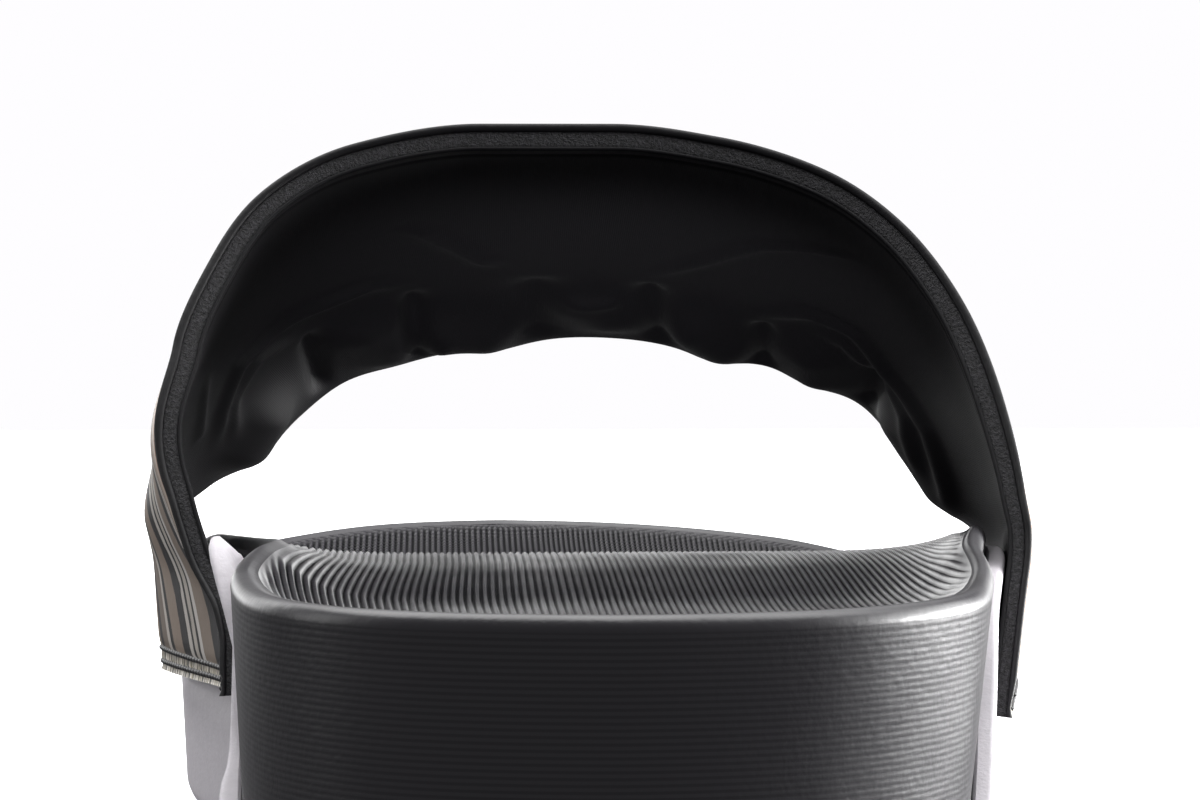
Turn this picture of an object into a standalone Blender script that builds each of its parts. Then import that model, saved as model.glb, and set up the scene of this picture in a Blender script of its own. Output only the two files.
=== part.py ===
"""Sport slide sandal for the right foot: a two-part foam sole and a padded strap.

The script works in metres with +Z up. X points to the outer side of the foot and
Y from the heel to the toe. The sole is lofted from rings that follow one outline,
and the strap is lofted from rows that run from the inner wall to the outer wall.
"""
import math

import bmesh
import bpy
from mathutils import Vector

MM = 0.001
TOUCH_GAP = 0.3 * MM

# Sole
SOLE_LENGTH = 284 * MM
HEEL_WIDTH = 80 * MM
BALL_WIDTH = 109 * MM
RIM_HEIGHT = 41 * MM
SEAT_HEIGHT = 35.5 * MM
TOE_LIFT = 9 * MM
WAIST_LIFT = 2.5 * MM
HEEL_BEVEL = 2 * MM
INNER_DRAFT = math.radians(3)
OUTER_DRAFT = math.radians(6)
RIM_ROUNDING = 2.4 * MM
RIM_BAND = 4 * MM
RIM_BAND_FALL = 0.6 * MM

# Outer cup
CUP_WALL = 2.4 * MM
CUP_FLOOR = 6 * MM
LIP_ROUNDING = 0.8 * MM
SOLE_EDGE_ROUNDING = 3 * MM
LUG_DEPTH = 1.5 * MM
GROOVE_WIDTH = 2.6 * MM
GROOVE_PITCH = 9.5 * MM
GROOVE_WAVE = 2.2 * MM

# Strap
STRAP_FOOT_REAR = 23 * MM
STRAP_FOOT_FRONT = 19 * MM
STRAP_CROWN_REAR = 88.9 * MM
STRAP_CROWN_FRONT = 64 * MM
STRAP_REAR_FOOT_REACH = 87 * MM
STRAP_REAR_CROWN_REACH = 130 * MM
STRAP_FRONT_FOOT_REACH = 172 * MM
STRAP_FRONT_CROWN_REACH = 206 * MM
STRAP_BULGE = 1.6 * MM
PAD_THICKNESS = 2.5 * MM
PAD_FOOT_THICKNESS = 1.6 * MM
COVER_THICKNESS = 0.8 * MM

# Mesh density
STATIONS = 48
ROW_STEPS = 3
TREAD_STEPS = 12

# Outline of the sole at its rim. Along is a share of the sole's length. The inner
# and outer sides are shares of the local width, which grows from the heel's to the ball's.
OUTLINE_COLUMNS = ("along", "inner", "outer")
OUTLINE_ROWS = (
    (0.000, 0.000, 0.000),
    (0.018, -0.275, 0.275),
    (0.070, -0.438, 0.450),
    (0.158, -0.494, 0.523),
    (0.264, -0.487, 0.562),
    (0.370, -0.444, 0.574),
    (0.493, -0.452, 0.540),
    (0.616, -0.469, 0.524),
    (0.722, -0.478, 0.516),
    (0.828, -0.468, 0.462),
    (0.916, -0.405, 0.352),
    (0.975, -0.262, 0.165),
    (1.000, -0.064, -0.064),
)
WIDTH_GROWS_FROM = 0.25
WIDTH_GROWS_TO = 0.65

# Heights along the sole. The rim's two sides and the drop from the rim to the cup's lip
# are shares of the rim height, and the bed's middle is a share of the seat height.
HEIGHT_COLUMNS = ("along", "rim_inner", "rim_outer", "bed", "lip_drop")
HEIGHT_ROWS = (
    (0.000, 1.000, 1.000, 0.985, 0.700),
    (0.070, 1.005, 1.005, 1.000, 0.700),
    (0.158, 1.020, 1.015, 1.000, 0.680),
    (0.220, 1.030, 1.025, 1.005, 0.480),
    (0.264, 1.034, 1.035, 1.015, 0.250),
    (0.317, 1.024, 1.040, 1.045, 0.140),
    (0.370, 1.005, 1.035, 1.070, 0.095),
    (0.430, 0.980, 1.010, 1.070, 0.065),
    (0.493, 0.958, 0.960, 1.010, 0.045),
    (0.563, 0.930, 0.885, 0.900, 0.045),
    (0.616, 0.880, 0.825, 0.820, 0.070),
    (0.722, 0.785, 0.745, 0.735, 0.125),
    (0.828, 0.735, 0.722, 0.725, 0.160),
    (0.916, 0.745, 0.750, 0.765, 0.185),
    (0.975, 0.775, 0.775, 0.800, 0.195),
    (1.000, 0.785, 0.785, 0.810, 0.195),
)

# Where the bottom leaves the floor, as shares of the length
HEEL_BEVEL_END = 0.045
WAIST_FROM = 0.27
WAIST_TO = 0.58
TOE_LIFT_FROM = 0.72
TOE_LIFT_POWER = 1.7

# The bed's cross-section: rings between the rim band (0) and the spine (1)
BED_RINGS = (0.06, 0.15, 0.28, 0.55, 1.0)
BED_POWER = 8
SPINE_FROM = 0.14
SPINE_TO = 0.84

# Rows of the strap from its inner foot over the crown to its outer foot. Across is a
# share of the half width over the cup's walls, rise is a share of the crown's height
# above the foot, both for the rear edge and the front edge.
STRAP_COLUMNS = ("rear_across", "rear_rise", "front_across", "front_rise")
STRAP_ROWS = (
    (-1.000, 0.018, -1.000, 0.000),
    (-1.000, 0.175, -1.000, 0.300),
    (-1.065, 0.360, -1.000, 0.420),
    (-1.110, 0.500, -0.915, 0.530),
    (-1.080, 0.620, -0.800, 0.640),
    (-0.985, 0.755, -0.690, 0.750),
    (-0.855, 0.875, -0.560, 0.865),
    (-0.635, 0.962, -0.390, 0.945),
    (-0.330, 1.000, -0.190, 0.985),
    (0.000, 1.000, 0.050, 1.000),
    (0.260, 0.975, 0.250, 0.980),
    (0.500, 0.917, 0.430, 0.940),
    (0.680, 0.820, 0.600, 0.875),
    (0.830, 0.660, 0.745, 0.775),
    (0.915, 0.495, 0.850, 0.630),
    (0.968, 0.360, 0.940, 0.470),
    (1.000, 0.230, 1.000, 0.330),
    (1.000, -0.022, 1.000, 0.000),
)
STRAP_SHARES = (0.0, 0.14, 0.32, 0.5, 0.68, 0.86, 1.0)
THICKENS_FROM = 0.2
THICKENS_OVER = 0.45
EDGE_ROUNDING = 0.35
SLOPE_NUDGE = 0.01

# Grooves of the tread, as shares of the length, under the heel and under the forefoot
TREAD_FIELDS = ((0.075, 0.285), (0.545, 0.945))


def smoothstep(value):
    """Return value eased from 0 to 1 with flat ends."""
    value = min(max(value, 0.0), 1.0)
    return value * value * (3 - 2 * value)


def angle_of(along):
    """Return the angle that spreads sections evenly round the heel and the toe."""
    return math.acos(1 - 2 * min(max(along, 0.0), 1.0))


def column_value(rows, column, along):
    """Read one column of a table at any share of the length, with smooth slopes."""
    knots = [angle_of(row[0]) for row in rows]
    values = [row[column] for row in rows]
    place = angle_of(along)
    last = len(rows) - 1
    index = 0
    while index < last - 1 and place > knots[index + 1]:
        index += 1
    before = max(index - 1, 0)
    after = min(index + 2, last)
    step = knots[index + 1] - knots[index]
    slope_in = (values[index + 1] - values[before]) / (knots[index + 1] - knots[before]) * step
    slope_out = (values[after] - values[index]) / (knots[after] - knots[index]) * step
    share = (place - knots[index]) / step
    square = share * share
    cube = square * share
    return (
        values[index] * (2 * cube - 3 * square + 1)
        + slope_in * (cube - 2 * square + share)
        + values[index + 1] * (3 * square - 2 * cube)
        + slope_out * (cube - square)
    )


def local_width(along):
    """Return the width that the outline's shares are measured in."""
    grown = smoothstep((along - WIDTH_GROWS_FROM) / (WIDTH_GROWS_TO - WIDTH_GROWS_FROM))
    return HEEL_WIDTH + (BALL_WIDTH - HEEL_WIDTH) * grown


def side_x(along, side):
    """Return the rim outline's x on the inner (-1) or outer (+1) side."""
    column = OUTLINE_COLUMNS.index("outer" if side > 0 else "inner")
    return column_value(OUTLINE_ROWS, column, along) * local_width(along)


def height(name, along):
    """Return one of the sole's heights at a share of the length."""
    scale = SEAT_HEIGHT if name == "bed" else RIM_HEIGHT
    return column_value(HEIGHT_ROWS, HEIGHT_COLUMNS.index(name), along) * scale


def rim_height(along, side):
    """Return the rim's height on one side."""
    return height("rim_outer" if side > 0 else "rim_inner", along)


def bottom_height(along):
    """Return the underside: flat under heel and ball, lifted at waist, toe and heel edge."""
    lift = 0.0
    if along < HEEL_BEVEL_END:
        lift += HEEL_BEVEL * (1 - along / HEEL_BEVEL_END) ** 2
    if WAIST_FROM < along < WAIST_TO:
        share = (along - WAIST_FROM) / (WAIST_TO - WAIST_FROM)
        lift += WAIST_LIFT * math.sin(math.pi * share) ** 2
    if along > TOE_LIFT_FROM:
        share = (along - TOE_LIFT_FROM) / (1 - TOE_LIFT_FROM)
        lift += TOE_LIFT * share ** TOE_LIFT_POWER
    return lift


def wall_slope(facing):
    """Return the wall's inward run for each unit of drop, where the wall faces facing.x."""
    return math.tan(mix(INNER_DRAFT, OUTER_DRAFT, (1 + facing) / 2))


def mix(start, end, share):
    """Return the value a share of the way from start to end."""
    return start + (end - start) * share


class Station:
    """One point of the rim outline, with its outward normal and its heights."""

    def __init__(self, along, side):
        self.along = along
        self.point = Vector((side_x(along, side), along * SOLE_LENGTH, 0))
        self.normal = Vector((side, 0, 0))
        self.rim = rim_height(along, side)
        self.floor = bottom_height(along)
        self.lip = self.rim - height("lip_drop", along)

    def bed_wall(self, z):
        """Return how far the bed's wall lies outside the rim outline at a height."""
        return (z - self.rim) * wall_slope(self.normal.x)

    def cup_inside(self, z):
        """Return how far the cup's inner face lies outside the rim outline at a height."""
        return self.bed_wall(z) + TOUCH_GAP

    def cup_outside(self, z):
        """Return how far the cup's outer face lies outside the rim outline at a height."""
        return self.cup_inside(z) + CUP_WALL

    def at(self, offset, z):
        """Return the point moved along the normal, at a height."""
        place = self.point + self.normal * offset
        return Vector((place.x, place.y, z))


def outline_stations():
    """Return the stations round the sole: heel, outer side, toe and inner side."""
    alongs = [(1 - math.cos(math.pi * k / STATIONS)) / 2 for k in range(STATIONS + 1)]
    stations = [Station(along, 1) for along in alongs]
    stations += [Station(along, -1) for along in reversed(alongs[1:-1])]
    count = len(stations)
    for index, station in enumerate(stations):
        ahead = stations[(index + 1) % count].point
        behind = stations[index - 1].point
        tangent = (ahead - behind).normalized()
        station.normal = Vector((tangent.y, -tangent.x, 0))
    return stations


def spine_point(along):
    """Return the point of the sole's middle line that a section closes to."""
    held = min(max(along, SPINE_FROM), SPINE_TO)
    middle = (side_x(held, 1) + side_x(held, -1)) / 2
    return Vector((middle, held * SOLE_LENGTH, 0))


def inward_ring(stations, offset, share, surface):
    """Return a ring moved from the offset outline a share of the way to the spine.

    surface gives the height from the station and the point's own place along the sole.
    """
    ring = []
    for station in stations:
        place = station.at(offset(station), 0).lerp(spine_point(station.along), share)
        ring.append(Vector((place.x, place.y, surface(station, place.y / SOLE_LENGTH))))
    return ring


def loft(name, rings):
    """Skin closed rings in order. The first and the last ring have met at the spine."""
    mesh = bmesh.new()
    loops = [[mesh.verts.new(point) for point in ring] for ring in rings]
    count = len(rings[0])
    for lower, upper in zip(loops, loops[1:]):
        for index in range(count):
            following = (index + 1) % count
            mesh.faces.new((lower[index], lower[following], upper[following], upper[index]))
    bmesh.ops.remove_doubles(mesh, verts=mesh.verts, dist=0.02 * MM)
    bmesh.ops.recalc_face_normals(mesh, faces=mesh.faces)
    return finished_object(name, mesh)


def finished_object(name, mesh):
    """Turn a bmesh into a smooth-shaded object that keeps its sharp edges."""
    data = bpy.data.meshes.new(name)
    mesh.to_mesh(data)
    mesh.free()
    data.shade_smooth()
    data.set_sharp_from_angle(angle=math.radians(40))
    return bpy.data.objects.new(name, data)


def make_outsole(stations):
    """Make the outer cup: underside, drafted wall, rounded lip and the floor inside."""
    rounding = SOLE_EDGE_ROUNDING
    turn = 1 - math.sqrt(0.5)

    def edge_offset(station):
        return station.cup_outside(station.floor + rounding) - rounding

    def underside(station, along):
        return bottom_height(along)

    def floor_offset(station):
        return station.cup_inside(station.floor + CUP_FLOOR)

    def inside_floor(station, along):
        return bottom_height(along) + CUP_FLOOR

    rings = [inward_ring(stations, edge_offset, share, underside) for share in (1.0, 0.5, 0.0)]
    rings.append([
        station.at(edge_offset(station) + rounding * (1 - turn), station.floor + rounding * turn)
        for station in stations
    ])
    for drop in (None, LIP_ROUNDING):
        ring = []
        for station in stations:
            z = station.floor + rounding if drop is None else station.lip - drop
            ring.append(station.at(station.cup_outside(z), z))
        rings.append(ring)
    rings.append([
        station.at(station.cup_outside(station.lip) - LIP_ROUNDING, station.lip)
        for station in stations
    ])
    rings.append([
        station.at(station.cup_inside(station.lip), station.lip)
        for station in stations
    ])
    rings += [inward_ring(stations, floor_offset, share, inside_floor) for share in (0.0, 0.5, 1.0)]
    return loft("outsole", rings)


def make_footbed(stations):
    """Make the bed: it fills the cup, stands above its lip and is hollowed for the foot."""
    turn = 1 - math.sqrt(0.5)

    def base_offset(station):
        return station.bed_wall(station.floor + CUP_FLOOR + TOUCH_GAP)

    def base(station, along):
        return bottom_height(along) + CUP_FLOOR + TOUCH_GAP

    def band_offset(station):
        return -RIM_BAND

    rings = [inward_ring(stations, base_offset, share, base) for share in (1.0, 0.5, 0.0)]
    rings.append([
        station.at(station.bed_wall(station.rim - RIM_ROUNDING), station.rim - RIM_ROUNDING)
        for station in stations
    ])
    rings.append([
        station.at(-RIM_ROUNDING * turn, station.rim - RIM_ROUNDING * turn)
        for station in stations
    ])
    rings.append([station.at(-RIM_ROUNDING, station.rim) for station in stations])
    for share in (0.0,) + BED_RINGS:

        def hollow(station, along):
            bed = height("bed", along)
            inside_rim = station.rim - RIM_BAND_FALL
            return bed + (inside_rim - bed) * (1 - share) ** BED_POWER

        rings.append(inward_ring(stations, band_offset, share, hollow))
    return loft("footbed", rings)


def monotone_slope(before, after):
    """Return a slope between two steps that never overshoots a table's rows."""
    if before * after <= 0:
        return 0.0
    return 2 * before * after / (before + after)


def strap_row(place):
    """Read all columns of the strap's table at a place between its rows."""
    last = len(STRAP_ROWS) - 1
    index = min(int(place), last - 1)
    share = place - index
    values = []
    for column in range(len(STRAP_COLUMNS)):
        rows = [row[column] for row in STRAP_ROWS]
        step = rows[index + 1] - rows[index]
        before = rows[index] - rows[index - 1] if index > 0 else step
        after = rows[index + 2] - rows[index + 1] if index + 2 <= last else step
        slope_in = monotone_slope(before, step)
        slope_out = monotone_slope(step, after)
        square = share * share
        cube = square * share
        values.append(
            rows[index] * (2 * cube - 3 * square + 1)
            + slope_in * (cube - 2 * square + share)
            + rows[index + 1] * (3 * square - 2 * cube)
            + slope_out * (cube - square)
        )
    return dict(zip(STRAP_COLUMNS, values))


def wall_x(along, side, z):
    """Return the x of the strap's seat on the cup's wall, straight up above the rim."""
    ahead = side_x(along + SLOPE_NUDGE, side)
    behind = side_x(along - SLOPE_NUDGE, side)
    slope = (ahead - behind) / (2 * SLOPE_NUDGE * SOLE_LENGTH)
    station = Station(along, side)
    station.normal = Vector((side, -side * slope, 0)).normalized()
    offset = station.cup_outside(min(z, station.rim)) + TOUCH_GAP
    return station.point.x + offset / station.normal.x


def strap_point(row, share):
    """Return a point of the strap's inner face, share 0 at its rear edge, 1 at its front."""
    rear_y = mix(STRAP_REAR_FOOT_REACH, STRAP_REAR_CROWN_REACH, row["rear_rise"])
    front_y = mix(STRAP_FRONT_FOOT_REACH, STRAP_FRONT_CROWN_REACH, row["front_rise"])
    rear_z = mix(STRAP_FOOT_REAR, STRAP_CROWN_REAR, row["rear_rise"])
    front_z = mix(STRAP_FOOT_FRONT, STRAP_CROWN_FRONT, row["front_rise"])
    y = mix(rear_y, front_y, share)
    z = mix(rear_z, front_z, share)
    along = y / SOLE_LENGTH
    inner = wall_x(along, -1, z)
    outer = wall_x(along, 1, z)
    across = mix(row["rear_across"], row["front_across"], share)
    return Vector(((inner + outer) / 2 + across * (outer - inner) / 2, y, z))


def grid_normals(grid):
    """Return the outward normals of a grid of points."""
    normals = []
    last_row = len(grid) - 1
    last_share = len(grid[0]) - 1
    for i, row in enumerate(grid):
        line = []
        for j in range(len(row)):
            around = grid[min(i + 1, last_row)][j] - grid[max(i - 1, 0)][j]
            forward = grid[i][min(j + 1, last_share)] - grid[i][max(j - 1, 0)]
            line.append(around.cross(forward).normalized())
        normals.append(line)
    return normals


def strap_faces():
    """Return the strap's inner face, its normals and how far each row has thickened."""
    count = (len(STRAP_ROWS) - 1) * ROW_STEPS + 1
    rows = [strap_row(index / ROW_STEPS) for index in range(count)]
    grid = [[strap_point(row, share) for share in STRAP_SHARES] for row in rows]
    rises = [(row["rear_rise"] + row["front_rise"]) / 2 for row in rows]
    for line, normals, rise in zip(grid, grid_normals(grid), rises):
        for j, share in enumerate(STRAP_SHARES):
            line[j] += normals[j] * STRAP_BULGE * math.sin(math.pi * share) * smoothstep(rise)
    ripe = [smoothstep((rise - THICKENS_FROM) / THICKENS_OVER) for rise in rises]
    return grid, grid_normals(grid), ripe


def make_strap_layer(name, faces, under, over):
    """Make one layer of the strap between two distances from its inner face."""
    grid, normals, ripe = faces
    mesh = bmesh.new()
    loops = []
    for line, line_normals, ripeness in zip(grid, normals, ripe):
        low = under(ripeness)
        high = over(ripeness)
        inside = [point + normal * low for point, normal in zip(line, line_normals)]
        outside = [point + normal * high for point, normal in zip(line, line_normals)]
        reach = (high - low) * EDGE_ROUNDING
        forward = (inside[-1] - inside[-2]).normalized() * reach
        rearward = (inside[0] - inside[1]).normalized() * reach
        front_edge = (inside[-1] + outside[-1]) / 2 + forward
        rear_edge = (inside[0] + outside[0]) / 2 + rearward
        section = inside + [front_edge] + outside[::-1] + [rear_edge]
        loops.append([mesh.verts.new(point) for point in section])
    for near, far in zip(loops, loops[1:]):
        skin_strap(mesh, near, far)
    for end in (loops[0], loops[-1]):
        close_strap_end(mesh, end)
    bmesh.ops.recalc_face_normals(mesh, faces=mesh.faces)
    return finished_object(name, mesh)


def skin_strap(mesh, near, far):
    """Skin two strap sections, with the same diagonals on the inner and the outer face."""
    count = len(near)
    outer_from = len(STRAP_SHARES) + 1
    for index in range(count):
        following = (index + 1) % count
        if index < outer_from:
            mesh.faces.new((near[index], near[following], far[following]))
            mesh.faces.new((near[index], far[following], far[index]))
        else:
            mesh.faces.new((near[index], near[following], far[index]))
            mesh.faces.new((near[following], far[following], far[index]))


def close_strap_end(mesh, loop):
    """Close a strap section with faces from its inner points to its outer points."""
    count = len(STRAP_SHARES)
    inside = loop[:count]
    front_edge = loop[count]
    outside = loop[count + 1:2 * count + 1][::-1]
    rear_edge = loop[-1]
    for j in range(count - 1):
        mesh.faces.new((inside[j], inside[j + 1], outside[j + 1], outside[j]))
    mesh.faces.new((inside[-1], front_edge, outside[-1]))
    mesh.faces.new((outside[0], rear_edge, inside[0]))


def make_tread_cutter():
    """Make the wavy grooves that part the lugs under the heel and the forefoot."""
    mesh = bmesh.new()
    reach = BALL_WIDTH * 0.75
    below = -4 * LUG_DEPTH
    for start, end in TREAD_FIELDS:
        grooves = int((end - start) * SOLE_LENGTH / GROOVE_PITCH)
        for groove in range(grooves + 1):
            middle = start * SOLE_LENGTH + groove * GROOVE_PITCH
            loops = []
            for step in range(TREAD_STEPS + 1):
                x = mix(-reach, reach, step / TREAD_STEPS)
                y = middle + GROOVE_WAVE * math.cos(math.pi * step)
                rear = y - GROOVE_WIDTH / 2
                front = y + GROOVE_WIDTH / 2
                corners = [
                    Vector((x, rear, below)),
                    Vector((x, front, below)),
                    Vector((x, front, bottom_height(front / SOLE_LENGTH) + LUG_DEPTH)),
                    Vector((x, rear, bottom_height(rear / SOLE_LENGTH) + LUG_DEPTH)),
                ]
                loops.append([mesh.verts.new(corner) for corner in corners])
            for near, far in zip(loops, loops[1:]):
                for index in range(4):
                    following = (index + 1) % 4
                    mesh.faces.new((near[index], near[following], far[following], far[index]))
            mesh.faces.new(loops[0][::-1])
            mesh.faces.new(loops[-1])
    bmesh.ops.recalc_face_normals(mesh, faces=mesh.faces)
    cutter = finished_object("tread_cutter", mesh)
    cutter.hide_render = True
    cutter.display_type = "WIRE"
    return cutter


def cut(part, cutter):
    """Cut one object out of another with a Boolean modifier."""
    boolean = part.modifiers.new("Tread grooves", "BOOLEAN")
    boolean.operation = "DIFFERENCE"
    boolean.solver = "EXACT"
    boolean.object = cutter


def finish(part, colour, roughness):
    """Give a part its own Principled material."""
    material = bpy.data.materials.new(part.name)
    material.use_nodes = True
    shader = material.node_tree.nodes["Principled BSDF"]
    shader.inputs["Base Color"].default_value = (*colour, 1.0)
    shader.inputs["Roughness"].default_value = roughness
    shader.inputs["Metallic"].default_value = 0.0
    part.data.materials.append(material)


def place_origin(parts, cutters):
    """Move everything so that the origin is under the middle of the sandal's box."""
    bpy.context.view_layer.update()
    depsgraph = bpy.context.evaluated_depsgraph_get()
    corners = []
    for part in parts:
        evaluated = part.evaluated_get(depsgraph)
        corners += [vertex.co.copy() for vertex in evaluated.data.vertices]
    low = Vector([min(corner[axis] for corner in corners) for axis in range(3)])
    high = Vector([max(corner[axis] for corner in corners) for axis in range(3)])
    shift = Vector((-(low.x + high.x) / 2, -(low.y + high.y) / 2, -low.z))
    for item in parts + cutters:
        item.location = shift


def build():
    """Build the sandal in a collection of its own and its cutter in another."""
    for item in list(bpy.data.objects):
        bpy.data.objects.remove(item, do_unlink=True)
    parts_collection = bpy.data.collections.new("Slide sandal")
    cutter_collection = bpy.data.collections.new("Cutters")
    bpy.context.scene.collection.children.link(parts_collection)
    bpy.context.scene.collection.children.link(cutter_collection)

    stations = outline_stations()
    outsole = make_outsole(stations)
    footbed = make_footbed(stations)
    faces = strap_faces()

    def pad_over(ripeness):
        return mix(PAD_FOOT_THICKNESS, PAD_THICKNESS, ripeness)

    def cover_under(ripeness):
        return pad_over(ripeness) + TOUCH_GAP

    def cover_over(ripeness):
        return cover_under(ripeness) + COVER_THICKNESS

    strap_pad = make_strap_layer("strap_pad", faces, lambda ripeness: 0.0, pad_over)
    strap_cover = make_strap_layer("strap_cover", faces, cover_under, cover_over)
    cutter = make_tread_cutter()

    parts = [outsole, footbed, strap_pad, strap_cover]
    for part in parts:
        parts_collection.objects.link(part)
    cutter_collection.objects.link(cutter)
    cut(outsole, cutter)

    finish(outsole, (0.60, 0.59, 0.63), 0.6)
    finish(footbed, (0.035, 0.034, 0.037), 0.42)
    finish(strap_pad, (0.02, 0.02, 0.022), 0.75)
    finish(strap_cover, (0.42, 0.33, 0.24), 0.6)
    place_origin(parts, [cutter])


build()
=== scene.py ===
"""Looks of a right-foot sport slide sandal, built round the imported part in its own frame.

The shapes are worked out in millimetres in the sole's own frame: X to the outer side of the
foot, Y from the heel to the toe and Z up from the floor. They are moved to the part's origin
and turned to metres when a mesh is made.
"""

import logging
import math
from collections.abc import Callable
from dataclasses import dataclass
from enum import Enum

import bmesh
import bpy
import numpy as np
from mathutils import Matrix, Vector


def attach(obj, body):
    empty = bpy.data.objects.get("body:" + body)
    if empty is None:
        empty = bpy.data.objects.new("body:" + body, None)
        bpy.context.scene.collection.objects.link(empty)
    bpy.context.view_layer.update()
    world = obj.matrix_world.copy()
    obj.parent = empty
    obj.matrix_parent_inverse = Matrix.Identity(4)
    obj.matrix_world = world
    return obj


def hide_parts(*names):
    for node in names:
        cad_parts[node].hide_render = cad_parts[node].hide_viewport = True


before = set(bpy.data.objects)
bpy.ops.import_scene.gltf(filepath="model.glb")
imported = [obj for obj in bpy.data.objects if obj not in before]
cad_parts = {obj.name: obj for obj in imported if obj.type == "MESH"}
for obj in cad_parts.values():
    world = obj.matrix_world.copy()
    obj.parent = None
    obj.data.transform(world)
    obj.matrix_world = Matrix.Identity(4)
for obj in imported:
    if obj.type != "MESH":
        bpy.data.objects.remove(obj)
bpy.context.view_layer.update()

MM = 0.001
# From the sole's frame to the part's origin, in millimetres.
FRAME_SHIFT = (-2.555, -142.815, 0.0)
# Fine stations from the heel to the toe, where the bed's outline is read.
RING_STEPS = 720
LOG = logging.getLogger("slide")
Array = np.ndarray


def linear(hex_colour: str) -> tuple[float, float, float, float]:
    """Turn an sRGB hex colour into linear red, green, blue and alpha.

    Args:
        hex_colour: six hex digits, such as "2b2a2d".

    Returns:
        The linear colour with alpha 1.
    """
    parts = []
    for start in (0, 2, 4):
        value = int(hex_colour[start:start + 2], 16) / 255
        parts.append(value / 12.92 if value <= 0.04045 else ((value + 0.055) / 1.055) ** 2.4)
    return parts[0], parts[1], parts[2], 1.0


def smoothstep(value: Array) -> Array:
    """Ease values from 0 to 1 with flat ends."""
    value = np.clip(value, 0.0, 1.0)
    return value * value * (3 - 2 * value)


def mix(start: Array, end: Array, share: Array) -> Array:
    """Return the value a share of the way from start to end."""
    return start + (end - start) * share


def hermite(before: Array, after: Array, slope_in: Array, slope_out: Array, share: Array) -> Array:
    """Blend two values with given slopes over one step.

    Args:
        before: value at the start of the step.
        after: value at its end.
        slope_in: slope at the start, per step.
        slope_out: slope at the end, per step.
        share: how far along the step.

    Returns:
        The blended values.
    """
    square = share * share
    cube = square * share
    return (
        before * (2 * cube - 3 * square + 1)
        + slope_in * (cube - 2 * square + share)
        + after * (3 * square - 2 * cube)
        + slope_out * (cube - square)
    )


def add_node(tree: bpy.types.NodeTree, kind: str, settings: dict[str, object] | None = None,
             inputs: dict[str | int, object] | None = None) -> bpy.types.Node:
    """Add a node, set its properties, and set or link its inputs.

    Args:
        tree: the shader or geometry tree.
        kind: the node's type name.
        settings: property names and their values.
        inputs: input names or numbers, each with a value or with the socket to link from.

    Returns:
        The new node.
    """
    node = tree.nodes.new(kind)
    for name, value in (settings or {}).items():
        setattr(node, name, value)
    for name, value in (inputs or {}).items():
        if isinstance(value, bpy.types.NodeSocket):
            tree.links.new(value, node.inputs[name])
        else:
            node.inputs[name].default_value = value
    return node


def new_material(name: str) -> tuple[bpy.types.Material, bpy.types.NodeTree, bpy.types.Node]:
    """Start a material.

    Args:
        name: the real material's name.

    Returns:
        The material, its tree and its Principled shader.
    """
    material = bpy.data.materials.new(name)
    material.use_nodes = True
    tree = material.node_tree
    return material, tree, tree.nodes["Principled BSDF"]


def make_object(name: str, points: Array, faces: list[tuple[int, ...]], material: bpy.types.Material,
                attributes: dict[str, Array] | None = None, sharp_deg: float = 50.0,
                merge_mm: float = 0.0, uv: Array | None = None) -> bpy.types.Object:
    """Make a smooth-shaded mesh object in the part's frame.

    Args:
        name: the piece's name.
        points: vertex places in millimetres in the sole's frame.
        faces: vertex numbers of each face.
        material: its finish.
        attributes: values per vertex to store by name.
        sharp_deg: edges that turn more than this stay sharp.
        merge_mm: distance under which vertices are merged, or 0.
        uv: one UV place per vertex, in metres.

    Returns:
        The new object, linked to the scene.
    """
    data = bpy.data.meshes.new(name)
    placed = (np.asarray(points, float) + np.array(FRAME_SHIFT)) * MM
    data.from_pydata(placed.tolist(), [], faces)
    for label, values in (attributes or {}).items():
        layer = data.attributes.new(label, "FLOAT", "POINT")
        layer.data.foreach_set("value", np.asarray(values, np.float32))
    if uv is not None:
        layer = data.uv_layers.new(name="UVMap")
        corners = np.zeros(len(data.loops), np.int32)
        data.loops.foreach_get("vertex_index", corners)
        layer.data.foreach_set("uv", np.asarray(uv, np.float32)[corners].ravel())
    mesh = bmesh.new()
    mesh.from_mesh(data)
    if merge_mm:
        bmesh.ops.remove_doubles(mesh, verts=mesh.verts, dist=merge_mm * MM)
        bmesh.ops.dissolve_degenerate(mesh, edges=mesh.edges, dist=merge_mm * MM)
    bmesh.ops.recalc_face_normals(mesh, faces=mesh.faces)
    mesh.to_mesh(data)
    mesh.free()
    data.shade_smooth()
    data.set_sharp_from_angle(angle=math.radians(sharp_deg))
    data.materials.append(material)
    return put_in_scene(name, data)


def put_in_scene(name: str, data: bpy.types.ID) -> bpy.types.Object:
    """Make an object of a mesh, light or camera and link it to the scene.

    Args:
        name: the object's name.
        data: what it holds.

    Returns:
        The new object.
    """
    item = bpy.data.objects.new(name, data)
    bpy.context.scene.collection.objects.link(item)
    return item


def grid_faces(rows: int, columns: int, closed: bool = False) -> list[tuple[int, ...]]:
    """Return the quads of a grid whose vertices run row by row.

    Args:
        rows: number of rows.
        columns: number of vertices in each row.
        closed: join the last column to the first.

    Returns:
        One tuple of four vertex numbers for each quad.
    """
    row, column = np.meshgrid(np.arange(rows - 1), np.arange(columns if closed else columns - 1),
                              indexing="ij")
    following = (column + 1) % columns
    quads = np.stack([row * columns + column, row * columns + following,
                      (row + 1) * columns + following, (row + 1) * columns + column], axis=-1)
    return [tuple(quad) for quad in quads.reshape(-1, 4).tolist()]


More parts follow.
